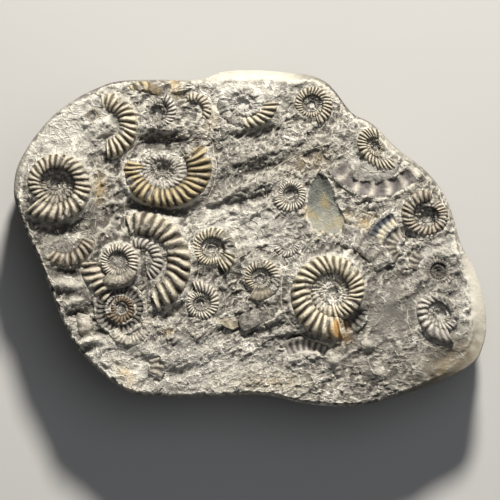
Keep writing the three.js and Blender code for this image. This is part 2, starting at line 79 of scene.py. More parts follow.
def add_node(tree, kind, inputs=(), out=0, steps=(), **settings):
    """Adds a shader node with its settings and links, and returns one of its outputs. Inputs are
    numbers, hex colours or other nodes' outputs, in order or by name; steps are a ramp's colours."""
    node = tree.nodes.new("ShaderNode" + kind)
    for name, value in settings.items():
        setattr(node, name, value)
    sockets = inputs.items() if isinstance(inputs, dict) else enumerate(inputs)
    for name, value in sockets:
        if isinstance(value, bpy.types.NodeSocket):
            tree.links.new(value, node.inputs[name])
        else:
            node.inputs[name].default_value = linear(value) if isinstance(value, str) else value
    for number, (position, colour) in enumerate(steps):
        ramp = node.color_ramp.elements
        element = ramp.new(position) if number > 1 else ramp[number]
        element.position, element.color = position, linear(colour)
    return node.outputs[out]


def deselect_all():
    if bpy.context.object and bpy.context.object.mode != "OBJECT":
        bpy.ops.object.mode_set(mode="OBJECT")
    bpy.ops.object.select_all(action="DESELECT")


def select_only(piece):
    deselect_all()
    piece.select_set(True)
    bpy.context.view_layer.objects.active = piece


def start_piece(name, primitive, **settings):
    """Adds a primitive and names it."""
    deselect_all()
    primitive(**settings)
    bpy.context.object.name = name
    return bpy.context.object


def start_editing(action="SELECT"):
    """Goes into edit mode with all of the active piece selected, or none of it."""
    bpy.ops.object.mode_set(mode="EDIT")
    bpy.ops.mesh.select_mode(type="EDGE")
    bpy.ops.mesh.select_all(action=action)


def turn_outwards(first_step=None, **settings):
    """Closes or merges the active piece by one operator, if given, and turns its faces outwards."""
    start_editing()
    if first_step:
        first_step(**settings)
    bpy.ops.mesh.normals_make_consistent(inside=False)
    bpy.ops.object.mode_set(mode="OBJECT")


def add_object(name, data):
    thing = bpy.data.objects.new(name, data)
    bpy.context.scene.collection.objects.link(thing)
    return thing


def points_of(mesh):
    """A mesh's points, one in each row, in metres."""
    flat = np.empty(len(mesh.vertices) * 3)
    mesh.vertices.foreach_get("co", flat)
    return flat.reshape(-1, 3)


def move_points(mesh, x, y, z):
    """Moves a mesh's points to places in mm."""
    mesh.vertices.foreach_set("co", np.stack([x * MM, y * MM, z * MM], axis=-1).ravel())


def mark_points(mesh, marks):
    """Writes each mark on the mesh's points, for the materials to read."""
    for name, values in marks.items():
        attribute = mesh.attributes.new(name, "FLOAT", "POINT")
        attribute.data.foreach_set("value", values.astype(np.float32))
    mesh.update()


def smooth_step(x, low, high):
    t = np.clip((x - low) / (high - low), 0.0, 1.0)
    return t * t * (3.0 - 2.0 * t)


def mixed(first, second, share):
    return first * (1.0 - share) + second * share


def as_rows(x, y, z):
    return np.stack([x, y, np.broadcast_to(z, x.shape)], axis=-1).reshape(-1, 3).tolist()


def noise_at(x, y, z, octaves=4, kind="soft"):
    """Noise from about -1 to 1 at every point: soft rolling, or ridged like broken stone."""
    if kind == "soft":
        values = [noise.fractal(p, 0.9, 2.1, octaves) for p in as_rows(x, y, z)]
    else:
        values = [noise.ridged_multi_fractal(p, 0.9, 2.1, octaves, 1.0, 2.0) - 1.1
                  for p in as_rows(x, y, z)]
    return np.array(values).reshape(x.shape)


def grain_axes(u, v, size, turn, stretch):
    """Face places in the axes of a grain: turned, and counted in sizes along and across it."""
    cosine, sine = math.cos(math.radians(turn)), math.sin(math.radians(turn))
    return (u * cosine + v * sine) / (size * stretch), (v * cosine - u * sine) / size


def facets(u, v, size, seed, turn=0.0, stretch=1.0):
    """Broken stone: each small cell is a flat flake with its own tilt and height, about -1 to 1."""
    along, across = grain_axes(u, v, size, turn, stretch)
    nearest = np.array([tuple(noise.voronoi(p)[1][0]) for p in as_rows(along, across, seed)])
    scattered = np.sin(nearest @ np.array([[12.99, 39.34, 73.16], [78.23, 11.14, 52.24],
                                           [37.72, 83.16, 19.87]])) * 43758.5
    tilt_along, tilt_across, lift = (scattered - np.floor(scattered)).T * 2.0 - 1.0
    height = (lift * 0.55 + tilt_along * (along.ravel() - nearest[:, 0])
              + tilt_across * (across.ravel() - nearest[:, 1]))
    return height.reshape(u.shape)


def webbed(u, v, size, seed, turn=0.0, stretch=1.0):
    """A web of thin crests round small hollows: near 1 on the web, down to about -0.5 between."""
    along, across = grain_axes(u, v, size, turn, stretch)
    nearest = [noise.voronoi(p)[0] for p in as_rows(along, across, seed)]
    gaps = np.array([second - first for first, second, *_ in nearest])
    return (1.0 - np.clip(gaps / 0.45, 0.0, 1.0) ** 0.6 * 1.5).reshape(u.shape)


def ledges(u, v, size, steps, seed, turn=0.0, stretch=1.0):
    """Stone split in thin layers: level treads with short ragged risers between, about -1 to 1."""
    along, across = grain_axes(u, v, size, turn, stretch)
    slope = noise_at(along, across, seed, 5) * steps
    tread = np.floor(slope)
    return (tread + smooth_step(slope - tread, 0.8, 1.0)) / steps


def smooth_loop(points, count):
    """A smooth closed curve through the points, in even steps between them."""
    knots = np.array(points)
    found = []
    for step in np.linspace(0, len(knots), count, endpoint=False):
        i, t = int(step), step - int(step)
        a, b, c, d = (knots[(i + k) % len(knots)] for k in (-1, 0, 1, 2))
        found.append(0.5 * (2 * b + (c - a) * t + (2 * a - 5 * b + 4 * c - d) * t * t
                            + (3 * b - a - 3 * c + d) * t ** 3))
    return np.array(found)


def to_block(u, v):
    """Face axes, in mm, to the block's X and Y, in mm."""
    c, s = FACE_SCALE * math.cos(FACE_TURN), FACE_SCALE * math.sin(FACE_TURN)
    return c * u - s * v, s * u + c * v


def to_face(x, y):
    c, s = math.cos(FACE_TURN) / FACE_SCALE, math.sin(FACE_TURN) / FACE_SCALE
    return c * x + s * y, c * y - s * x


def spot(u, v, place):
    """How near each point is to the middle of an oval place: 1 there, fading to 0 outside."""
    cu, cv, half_length, half_width, turn = place[:5]
    c, s = math.cos(math.radians(turn)), math.sin(math.radians(turn))
    along = ((u - cu) * c + (v - cv) * s) / half_length
    across = ((v - cv) * c - (u - cu) * s) / half_width
    return np.exp(-along * along - across * across)


# ---- Camera, light and floor ------------------------------------------------------------------

VIEW_WIDTH = 154.8 * FACE_SCALE
VIEW_DISTANCE = 2400.0
VIEW_CENTRE = (-1.08, 0.29)


def place_camera():
    data = bpy.data.cameras.new("camera")
    data.sensor_width = 36.0
    data.lens = data.sensor_width * VIEW_DISTANCE / VIEW_WIDTH
    data.clip_start, data.clip_end = 0.1, 10.0
    camera = add_object("camera", data)
    x, y = to_block(*VIEW_CENTRE)
    camera.location = (x * MM, y * MM, (FACE_LEVEL + VIEW_DISTANCE) * MM)
    camera.rotation_euler = (0.0, 0.0, FACE_TURN)
    bpy.context.scene.camera = camera


def place_softbox(name, towards, size, watts, colour, distance=1.1):
    """An area light over the face, in the direction (u, v, up), turned to the block."""
    data = bpy.data.lights.new(name, "AREA")
    data.shape = "DISK"
    data.size = size
    data.energy = watts
    data.color = linear(colour)[:3]
    light = add_object(name, data)
    direction = Vector((*to_block(*towards[:2]), towards[2])).normalized()
    light.location = direction * distance
    light.rotation_euler = direction.to_track_quat("Z", "Y").to_euler()


def light_the_room():
    place_softbox("key_softbox", (0.16, 1.0, 0.86), 0.16, 25.8, "#fffcf6")
    place_softbox("fill_softbox", (0.3, 0.2, 1.2), 0.8, 2.2, "#eef3ff")
    world = bpy.data.worlds.new("studio")
    world.use_nodes = True
    background = world.node_tree.nodes["Background"]
    background.inputs["Color"].default_value = linear("#e9edf2")
    background.inputs["Strength"].default_value = 0.12
    bpy.context.scene.world = world
    bpy.context.scene.view_settings.view_transform = "Standard"


def new_material(name, marks=()):
    """A material, a function that adds a node to it, and an output for each mark that it reads."""
    material = bpy.data.materials.new(name)
    material.use_nodes = True
    add = partial(add_node, material.node_tree)
    return material, add, [add("Attribute", out="Fac", attribute_name=mark) for mark in marks]


def finish_material(material, colour, roughness, bump=None):
    """Sets the shader's colour, its roughness and, where there is one, its bump."""
    tree = material.node_tree
    shader = tree.nodes["Principled BSDF"]
    tree.links.new(colour, shader.inputs["Base Color"])
    shader.inputs["Roughness"].default_value = roughness
    if bump:
        tree.links.new(add_node(tree, "Bump", bump), shader.inputs["Normal"])
    return material


def laid_over(add, colour, layers):
    """A colour with others laid over it in turn, each by its own share."""
    for share, over in layers:
        colour = add("Mix", {"Factor": share, "A": colour, "B": over}, "Result", data_type="RGBA")
    return colour


def lay_floor():
    """The sheet that the block lies on: matt paper, mottled so faintly that it looks even."""
    floor = start_piece("floor", bpy.ops.mesh.primitive_plane_add, size=3.0)
    material, add, _ = new_material("matt_white_paper")
    # Patches 110 mm across.
    mottle = add("TexNoise", {"Vector": add("TexCoord", out="Object"), "Scale": 9.0})
    colour = laid_over(add, "#a5a39f", [(mottle, "#adaba7")])
    floor.data.materials.append(finish_material(material, colour, 0.9))


# ---- The block's form -------------------------------------------------------------------------

# The widest outline, clockwise in face axes: u, v and the width of the worn rim there.
OUTLINE = [
    (-73.8, 19.6, 2.0), (-72.6, 26.5, 2.0), (-68.1, 34.4, 1.4), (-61.7, 41.8, 1.2), (-54.8, 46.8, 1.2),
    (-48.1, 50.1, 1.4), (-41.9, 52.0, 1.4), (-31.1, 52.4, 1.6), (-17.3, 52.4, 1.8), (-9.4, 54.7, 2.6),
    (-0.5, 55.1, 2.9), (8.2, 54.5, 2.7), (16.3, 53.5, 2.0), (21.2, 51.7, 1.6), (24.6, 48.7, 1.4),
    (30.1, 41.8, 1.4), (36.1, 38.6, 1.8), (43.9, 31.0, 2.0), (52.8, 24.1, 1.6), (58.2, 17.2, 1.4),
    (61.2, 10.3, 1.6), (63.7, 1.8, 1.8), (67.6, -5.1, 2.9), (70.6, -14.0, 4.2), (71.7, -22.8, 4.3),
    (70.6, -29.7, 3.9), (67.6, -34.7, 3.2), (58.7, -39.6, 2.2), (47.8, -43.5, 1.6), (37.0, -46.5, 1.4),
    (28.1, -47.6, 1.6), (16.3, -46.5, 1.4), (2.5, -43.8, 1.6), (-14.4, -44.4, 1.6), (-32.1, -44.0, 1.4),
    (-40.0, -41.6, 1.2), (-46.9, -36.6, 1.0), (-52.8, -30.7, 0.8), (-57.2, -23.8, 0.8),
    (-61.7, -13.0, 0.8), (-65.6, -3.1, 0.8), (-70.6, 7.8, 0.8), (-73.1, 14.7, 1.0),
]
OUTLINE_FINENESS = 16

# The side: height, how far it stands back from the outline, and the share of the rim's width added.
SIDE = [
    (0.0, 5.2, 0.0), (1.4, 3.1, 0.0), (6.0, 1.5, 0.0), (13.0, 0.2, 0.0), (20.0, 0.0, 0.0),
    (28.4, 0.0, 0.0), (29.5, 0.35, 0.55), (30.5, 0.6, 1.0), (44.0, 0.8, 1.04),
]
GIRTH = 28.4             # the top face's mesh ends here, and the side's rings begin
SIDE_RINGS = 20
GRID_LONG = 324
GRID_ACROSS = 234

# Lumps (rise above 0) and hollows (rise below 0): u, v, half length, half width, turn, rise.
LUMPS = [
    (-27.9, 33.6, 7.2, 2.9, 3, -3.3), (-28.6, 38.4, 7.6, 1.7, 0, 1.2), (-28.9, 13.6, 7.4, 2.4, 0, -2.4),
    (-30.5, -20.6, 5.5, 2.4, 12, -1.6), (-52.6, 0.2, 2.6, 2.6, 0, -2.2),
    (-61.1, -4.7, 4.5, 3.6, 20, 1.2), (-60.0, 7.8, 7.5, 2.2, -10, -1.6), (-31.0, 8.6, 9.0, 2.6, 8, 1.4),
    (-20.0, 37.5, 5.5, 3.6, 60, 1.3), (-9.0, 30.8, 7.0, 2.4, 20, -1.7),
    (2.0, 25.2, 12.0, 1.7, 20, -1.9), (-2.0, 20.0, 11.0, 1.5, 20, 1.5), (3.5, 30.6, 10.0, 1.6, 18, 1.6),
    (-5.5, 15.0, 9.0, 1.4, 16, -1.3), (4.0, 36.6, 8.0, 1.6, 12, -1.6), (22.8, 13.0, 6.8, 8.6, 0, 0.9),
    (30.8, 20.6, 3.2, 2.6, 20, -2.0), (37.0, 19.0, 3.0, 2.4, 0, -1.6), (45.5, 20.4, 6.5, 2.6, -30, 1.3),
    (58.0, -6.2, 4.4, 4.4, 0, -1.9), (46.5, 3.0, 3.6, 6.0, 20, -1.2), (36.0, 10.5, 3.4, 2.0, 30, -1.8),
    (3.4, -24.6, 6.4, 1.5, 16, -1.8), (6.2, -20.0, 5.0, 1.7, 20, 1.2), (15.9, -28.0, 7.4, 2.2, 0, -2.3),
    (32.0, -22.6, 3.0, 4.6, -10, -2.2), (17.0, -32.8, 6.5, 3.0, 5, 1.3),
    (35.4, -29.0, 2.3, 1.8, 10, 2.5), (39.1, -37.9, 2.8, 2.3, -20, 2.4),
    (25.0, -34.2, 2.4, 2.2, 0, 2.5), (53.1, -37.0, 4.2, 2.4, -15, 0.8),
    (43.0, -21.0, 8.0, 7.0, 0, -1.0), (-20.0, -31.0, 13.0, 5.0, 8, 1.2),
    (-36.0, -33.0, 6.0, 3.2, -25, -1.1), (-4.0, -35.0, 8.0, 2.4, 10, -1.1),
    (-9.0, -24.0, 4.0, 2.0, 30, -1.2), (62.0, -35.6, 10.0, 5.0, 30, -1.2),
    (2.0, 52.0, 14.0, 3.4, -3, -1.3), (-56.8, -10.5, 6.2, 2.2, -8, 2.3),
    (-55.6, -15.6, 4.4, 2.0, 20, 1.9), (-51.6, -27.9, 3.6, 1.2, 25, 2.5),
    (-56.5, -6.6, 6.0, 1.3, -8, -1.6), (-54.0, -19.4, 4.2, 1.2, 10, -1.7),
    (-50.2, -30.4, 3.6, 1.0, 25, -1.5), (-47.0, -24.8, 3.0, 1.2, 20, -1.2),
    (-30.0, -32.5, 5.0, 2.0, -30, 1.3), (-24.0, -38.0, 7.0, 1.6, 15, -1.2),
    (-12.0, -30.5, 6.0, 1.8, 25, 1.2), (-51.9, 39.6, 1.3, 1.1, 0, 1.1),
    (-45.2, 39.6, 1.7, 1.3, 20, 1.3), (-47.6, 36.4, 2.4, 1.2, 40, 0.9), (-46.6, 38.6, 4.0, 5.6, 0, 1.0),
    (58.0, -33.2, 4.6, 2.2, 25, -1.4),
]

# Places where the stone is smoother than elsewhere: u, v, half length, half width, turn, how much.
SMOOTH_PLACES = [
    (2.0, 51.6, 18.0, 3.0, -3, 0.7), (61.0, -34.0, 13.0, 6.0, 33, 0.65),
    (43.0, -20.0, 9.0, 7.0, 0, 0.85), (-14.0, -38.0, 30.0, 9.0, -4, 0.4),
    (-62.0, -2.0, 6.0, 16.0, 20, 0.4), (-59.0, 38.0, 13.0, 6.0, 45, 0.6),
    (36.0, -38.0, 18.0, 6.0, 10, 0.3), (34.0, 44.0, 8.0, 8.0, 0, 0.4),
    (35.4, -29.0, 2.8, 2.3, 10, 0.85), (39.1, -37.7, 3.3, 2.8, -20, 0.85),
    (24.9, -33.9, 2.9, 2.7, 0, 0.85), (-56.8, -10.5, 6.4, 2.8, -8, 0.85),
    (-55.6, -15.6, 4.6, 2.5, 20, 0.75), (-51.6, -27.9, 3.8, 1.4, 25, 0.9),
]

# Colour on the stone, by the stain's name, painted shadow among them: u, v, half length, half width,
# turn, how much.
STAINS_AND_SHADOWS = {
    "ochre": [
        (-47.6, 19.2, 2.0, 4.0, 0, 0.9), (28.4, 7.6, 3.4, 1.3, 0, 0.8),
        (-24.0, 50.4, 1.8, 3.0, 30, 0.9), (35.0, 9.2, 3.6, 2.4, 20, 0.8),
        (-39.6, -38.6, 2.2, 4.8, 35, 0.8), (62.5, -35.0, 10.0, 5.0, 30, 0.45),
        (5.0, -40.5, 13.0, 3.2, 0, 0.4), (-26.6, -25.0, 1.8, 1.2, 0, 0.7),
        (-13.0, 40.0, 4.0, 2.0, 60, 0.4), (18.0, 28.0, 7.0, 3.0, 20, 0.3),
        (22.2, 14.8, 1.6, 3.0, 15, 1.1), (19.4, 10.4, 4.2, 1.7, -35, 1.3),
        (25.4, 8.8, 4.6, 2.0, 22, 1.3),
    ],
    "mud": [
        (42.5, -19.0, 9.0, 8.6, 0, 1.3), (52.0, -12.0, 7.0, 3.0, 60, 0.6),
        (30.0, -38.0, 12.0, 5.0, 0, 0.35), (60.0, -34.0, 16.0, 6.5, 38, 1.2),
        (-60.0, 3.0, 8.0, 8.0, 0, 0.9), (-50.0, 8.0, 5.0, 5.0, 0, 0.8), (57.3, -6.3, 6.0, 5.0, 0, 0.8),
        (-1.0, 24.0, 14.0, 9.0, 15, 0.4), (35.4, -29.0, 2.4, 1.9, 0, 0.9),
        (25.0, -34.2, 2.4, 2.2, 0, 0.8), (39.1, -37.9, 2.8, 2.3, -20, 0.9),
        (4.0, 33.0, 12.0, 6.0, 15, 0.45), (-60.0, -3.0, 5.0, 4.0, 0, 0.9),
    ],
    # Painted shadow, and in places stone that is dark of itself: dark patches where shade falls, under
    # ledges and below lumps and shells.
    "shadow_and_dirt": [
        (31.0, -21.0, 4.0, 4.6, 0, 1.1), (15.0, -26.6, 8.0, 1.3, 5, 0.9),
        (57.3, -6.3, 4.8, 4.8, 0, 1.5), (44.0, -18.0, 6.0, 6.0, 0, 0.2),
        (58.0, -33.2, 6.0, 2.8, 28, 0.7), (52.0, 14.0, 3.4, 3.4, 0, 0.6),
        (-57.5, -3.4, 5.0, 2.4, 0, 0.6), (-54.0, -19.6, 4.2, 1.2, 10, 0.6),
        (21.5, 22.0, 3.4, 3.4, 0, 0.3), (27.6, 17.6, 2.4, 4.6, 20, 0.8),
        (-6.7, 25.2, 8.0, 3.0, 16, 0.8), (-13.0, 24.0, 3.0, 5.0, 0, 0.8),
        (31.0, -21.8, 4.0, 4.0, 0, 0.95), (16.0, -27.2, 8.0, 1.6, 0, 0.9),
        (-27.8, 33.8, 8.0, 3.4, 0, 1.3), (1.6, -25.4, 6.0, 0.9, 14, 0.8),
        (-61.8, 21.0, 11.0, 11.0, 0, 0.28), (17.3, 45.4, 5.6, 5.6, 0, 0.2),
        (2.0, -8.3, 6.5, 6.5, 0, 0.2), (-16.4, -16.2, 6.0, 6.0, 0, 0.2),
        (-41.3, -18.0, 8.0, 8.0, 0, 0.25), (-57.4, 0.8, 3.4, 1.5, -12, 0.9),
        (-57.6, -6.6, 5.6, 1.2, -6, 0.9), (-52.0, -3.0, 3.4, 3.4, 0, 0.4),
        (-30.4, -4.6, 3.0, 5.4, 0, 0.7), (-28.8, 13.4, 7.4, 1.9, 0, 0.85),
        (53.6, -38.0, 6.6, 2.4, 25, 0.9), (-52.5, 0.2, 2.6, 2.4, 0, 0.8),
        (-60.5, 8.2, 7.0, 1.8, -12, 0.7), (2.0, 20.4, 9.0, 1.2, 20, 0.5),
        (-30.2, -21.4, 4.2, 1.4, 12, 0.7), (-38.8, -30.4, 3.4, 1.2, 8, 0.7),
        (-41.6, -10.6, 4.0, 1.3, 12, 0.8),
    ],
    "pale": [
        (53.3, -1.6, 1.7, 5.4, -25, 0.95), (-8.4, -21.8, 3.2, 1.4, 15, 0.5),
        (2.0, 52.0, 18.0, 2.8, -3, 0.4), (-14.0, -38.0, 28.0, 8.0, -4, 0.55),
        (-2.0, 5.5, 13.0, 4.0, -20, 0.9), (-57.0, 38.0, 12.0, 8.0, 40, 1.0),
        (24.7, -12.7, 4.8, 4.8, 0, 0.25), (58.0, -19.6, 4.6, 4.0, -30, 0.9),
        (60.0, 0.0, 4.0, 9.0, 15, 0.6), (65.6, -16.0, 2.6, 9.0, -8, 0.6),
        (32.0, 28.0, 6.0, 9.0, 40, 0.5), (36.6, 18.6, 7.0, 3.0, -20, 0.5),
        (-5.0, 10.0, 13.0, 4.0, -10, 1.0), (-68.0, 30.0, 5.0, 10.0, -20, 0.6),
        (-38.0, -36.5, 14.0, 7.0, -10, 0.8), (43.0, 15.0, 6.0, 6.0, 0, 0.3),
        (-4.0, 46.6, 9.0, 5.4, 0, 1.7), (8.0, -4.0, 8.0, 4.0, 0, 0.25), (38.0, 24.6, 6.0, 2.0, 5, 0.7),
        (-47.6, 38.4, 5.0, 6.0, 0, 0.8),
    ],
    "orange": [
        (27.0, -24.6, 2.8, 3.6, -12, 1.9),
    ],
    "violet": [
        (-22.0, -31.0, 12.0, 6.0, 10, 0.5), (40.0, 22.0, 6.0, 8.0, 30, 0.5),
        (58.0, -12.0, 9.0, 12.0, 0, 0.6), (12.0, -30.0, 12.0, 5.0, 0, 0.5),
        (40.0, -20.0, 9.0, 9.0, 0, 0.5), (-34.0, 38.0, 8.0, 7.0, 0, 0.4),
        (14.0, 8.0, 16.0, 8.0, -20, 0.35),
    ],
}

# ---- What lies in the face --------------------------------------------------------------------

TUBE_CENTRE = 0.755      # middle of the whorl's tube, as a share of the radius there
TUBE_REACH = 0.245       # its half width
TUBE_RISE = 0.235        # its half height
TUBE_POINTS = 24         # round the tube
RIB_STEPS = 8            # from one rib to the next
FINE_RADIUS = 6.0        # coils up to this size are made of fewer points
FEWER_POINTS = 6
FEWER_STEPS = 2


def shell(node, at, radius, growth, wound, mouth, ribs, level, turns, finish, **traits):
    """A shell by its ten measures and by the traits in which it isn't the usual one."""
    usual = dict(
        part="shell",                       # ending of the piece's name
        flat=1.0, slant=0.0, tilt=0.0,      # squash along v, shear along u, and rise along v
        tube=(TUBE_CENTRE, TUBE_REACH),     # the tube's middle and half width, as shares
        rib=0.5, worn=1.2, grime=0.7,       # height of the ribs, depth of the wear, painted shade in the coil's seams, which are also dirty
        dish=0.08, fill=-0.07,              # how deep the inner turns and the stone in them lie
        smooth=(-1.0, -1.0), bare=0.85,     # turns between which the ribs are gone, and how far
        ruin=(9.0, 9.0), stony=0.0)         # turns that are broken off, and stone clinging to it all
    return dict(usual, node=node, at=at, radius=radius, growth=growth, wound=wound, mouth=mouth,
                ribs=ribs, level=level, turns=turns, finish=finish, **traits)


def mould(name, around, reach, arc, ribs, level, depth, rib, finish, **traits):
    """A mould by its nine measures and by the traits in which it isn't the usual one."""
    usual = dict(
        node="limestone_matrix",
        lip=0.0, stony=0.1,                 # height of the stone round it, and stone clinging to it
        tone=0.0, split=False)              # paler all over, or painted shade: dark outside and pale inside
    return dict(usual, name=name, around=around, reach=reach, arc=arc, ribs=ribs, level=level,
                depth=depth, rib=rib, finish=finish, **traits)


# Node; centre in face axes; radius at the mouth; growth, how much larger each turn is than the one
# inside it; which way the shell grows, seen from above; the mouth's angle in degrees; ribs in a
# turn; height of the coil's middle plane; how many turns show; finish.
SHELLS = [
    shell("ammonite_left_edge", (-61.3, 20.9), 13.8, 1.7, "cw", 225, 26.4, 32.2, 3.4, "umber_calcite",
          flat=0.93, dish=0.2, grime=1.0, rib=0.44),
    shell("ammonite_second_largest", (24.5, -12.6), 15.4, 1.75, "ccw", 283, 28.4, 32.4, 3.6,
          "cream_calcite", dish=0.1, grime=0.0, worn=1.4),
    shell("ammonite_on_largest", (-42.3, -3.4), 8.3, 1.72, "cw", 232, 29.4, 33.3, 2.6, "pale_calcite",
          dish=0.1, fill=0.02, smooth=(0.0, 0.26)),
    shell("ammonite_brown_core", (-40.9, -17.7), 5.4, 1.7, "cw", 200, 20.4, 31.5, 2.4, "brown_calcite"),
    shell("ammonite_centre_left", (-13.2, 0.5), 8.7, 1.8, "cw", 300, 29.4, 31.9, 2.8, "cream_calcite",
          dish=0.14, ruin=(0.14, 0.3)),
    shell("ammonite_centre", (2.0, -8.3), 7.8, 1.75, "cw", 240, 28.4, 31.7, 2.8, "umber_calcite",
          dish=0.12, ruin=(0.2, 0.34), smooth=(0.0, 0.22), grime=1.0),
    shell("ammonite_below_centre", (-16.4, -16.2), 7.0, 1.75, "ccw", 110, 26.4, 31.6, 2.6,
          "pale_calcite", dish=0.12),
    shell("ammonite_top", (-3.1, 45.4), 11.0, 1.75, "ccw", 5, 24.4, 31.2, 2.6, "cream_calcite",
          flat=0.8, dish=-0.03, grime=0.0, worn=0.9, ruin=(0.27, 4.0)),
    shell("ammonite_top_right", (17.9, 45.3), 7.3, 1.65, "cw", 290, 27.4, 31.1, 2.8, "umber_calcite",
          flat=0.95, dish=0.12, grime=1.3, worn=1.6),
    shell("ammonite_right_shoulder", (38.4, 32.0), 7.5, 1.45, "ccw", 333, 27.4, 31.5, 0.68,
          "umber_calcite", flat=0.95, slant=0.35, tube=(0.745, 0.255)),
    shell("ammonite_right_shoulder", (38.0, 32.2), 3.6, 1.6, "ccw", 300, 22.4, 30.5, 1.8,
          "umber_calcite", part="inner_whorls", flat=0.95, slant=0.35, worn=3.0, stony=0.6),
    shell("ammonite_right", (53.9, 11.0), 9.4, 1.6, "cw", 80, 25.4, 31.3, 2.4, "brown_shell", flat=0.87,
          dish=0.2, worn=1.6, rib=0.42, ruin=(0.95, 9.0), grime=0.9),
    shell("ammonite_in_pit", (57.3, -6.3), 3.3, 1.7, "ccw", 330, 20.4, 30.2, 2.4, "smoky_calcite"),
    shell("ammonite_right_rim", (58.0, -19.6), 9.0, 1.7, "ccw", 297, 19.4, 31.1, 2.6, "grey_calcite",
          dish=0.12, slant=0.25, worn=1.0, rib=0.42, grime=0.3, smooth=(0.0, 0.14), bare=0.6,
          ruin=(0.5, 0.9)),
    shell("ammonite_upper_middle", (11.3, 17.6), 6.3, 1.7, "cw", 200, 29.4, 31.3, 2.4, "pale_calcite",
          dish=0.14),
    shell("ammonite_middle", (10.6, 2.4), 4.9, 1.6, "cw", 190, 25.4, 31.1, 0.5, "grey_calcite"),
    shell("ammonite_small_top_left", (-49.8, 42.0), 3.6, 1.6, "cw", 180, 24.4, 31.6, 2.4,
          "umber_calcite", dish=0.04, grime=0.25),
    shell("ammonite_weathered", (-29.6, 43.0), 6.4, 1.6, "ccw", 70, 24.4, 31.4, 2.2, "grey_calcite",
          dish=0.2, ruin=(0.35, 4.0)),
    shell("ammonite_worn_top", (-18.6, 43.8), 6.0, 1.6, "cw", -40, 20.4, 31.0, 0.45, "umber_calcite"),
    shell("ammonite_largest", (-35.4, -2.7), 17.6, 1.5, "cw", -70, 26.4, 31.9, 0.5, "umber_calcite",
          tube=(0.765, 0.235), rib=0.6),
    shell("ammonite_largest", (-35.4, -2.7), 8.2, 1.5, "cw", -60, 24.4, 31.6, 0.5, "grey_calcite",
          part="inner_whorl", worn=1.6),
    shell("ammonite_tan", (-27.8, 25.0), 15.6, 1.42, "ccw", 39, 30.4, 31.8, 0.67, "tan_calcite",
          flat=0.84, tilt=-0.09, tube=(0.745, 0.255)),
    shell("ammonite_tan", (-28.4, 25.2), 8.4, 1.5, "ccw", 20, 26.4, 30.9, 2.8, "grey_calcite",
          part="inner_whorls", flat=0.9, dish=0.1, worn=3.0, rib=0.25, stony=0.7, grime=0.1),
    shell("ammonite_top_left", (-45.9, 39.2), 10.7, 1.2, "cw", -86, 25.4, 31.7, 0.51, "cream_calcite",
          tube=(0.72, 0.28), grime=0.2),
    shell("whorl_left_of_largest", (-35.4, -2.7), 18.8, 1.3, "cw", 183, 38.4, 31.2, 0.13,
          "umber_calcite", tube=(0.8, 0.2), worn=1.8),
    shell("limestone_matrix", (-58.3, 4.9), 10.4, 1.2, "cw", -128, 24.4, 31.2, 0.33, "brown_shell",
          part="buried_whorl", worn=2.4, rib=0.6, stony=0.3, grime=1.2),
    shell("whorl_pale", (-38.2, -22.4), 7.5, 1.2, "cw", 200, 30.4, 31.2, 0.5, "pale_calcite", rib=0.14,
          worn=2.0),
    shell("whorl_top_edge", (-34.6, 41.6), 11.0, 1.05, "ccw", 112, 24.4, 31.2, 0.2, "tan_calcite",
          rib=0.4, tube=(0.85, 0.15), smooth=(0.11, 1.0)),
    shell("whorl_left_rim", (-44.4, -21.6), 10.6, 1.1, "cw", 166, 20.4, 30.4, 0.14, "pale_calcite",
          rib=0.08),
]

# Moulds: hollow ribbed prints that a shell, since lost, left in the stone. Name; centre in face
# axes; reach, the inner and outer radius; arc, where it starts and ends, in degrees anticlockwise;
# ribs in a full turn; level; depth; height of the ribs; finish.
MOULDS = [
    mould("mould_round_brown_core", (-41.3, -18.0), (4.0, 8.0), (0, 360), 27, 31.8, 1.6, 0.8,
          "smoky_calcite"),
    mould("mould_broad_scallops", (38.2, 33.7), (11.2, 17.6), (212, 324), 19, 31.7, 0.9, 1.1,
          "slate_calcite", lip=0.6, tone=0.14),
    mould("mould_round_pit", (57.3, -6.3), (2.9, 4.9), (0, 360), 26, 31.1, 0.5, 0.3, "slate_calcite",
          node="ammonite_in_pit"),
    mould("mould_dark_strip", (47.0, 1.2), (6.6, 12.2), (108, 176), 34, 32.0, 1.5, 0.5,
          "blue_cream_calcite", node="whorl_strip", split=True),
    mould("mould_pale_hollow", (47.0, 1.2), (1.8, 7.3), (92, 238), 16, 31.5, 1.3, 0.14, "pale_calcite",
          node="whorl_right_of_middle"),
    mould("mould_outside_second_largest", (24.7, -12.7), (14.6, 21.0), (26, 82), 34, 31.7, 0.4, 1.0,
          "umber_calcite", stony=0.8),
    mould("mould_dark_arch", (16.3, -41.2), (9.2, 14.6), (54, 124), 40, 31.3, 1.9, 0.35,
          "slate_calcite", stony=0.35),
    mould("mould_dark_fan", (27.0, -17.0), (2.5, 9.4), (278, 352), 25, 30.7, 1.5, 0.75,
          "smoky_calcite"),
    mould("mould_beside_pit", (57.3, -6.3), (6.6, 9.8), (138, 176), 30, 31.2, 0.4, 0.4, "pale_calcite"),
    mould("mould_beside_top", (5.0, 37.4), (4.4, 7.8), (-36, 36), 30, 31.2, 0.7, 0.6, "slate_calcite",
          stony=0.4),
    mould("mould_lower_left", (-36.5, -35.5), (4.5, 8.9), (-32, 26), 20, 31.3, 0.5, 0.6,
          "pale_calcite"),
]

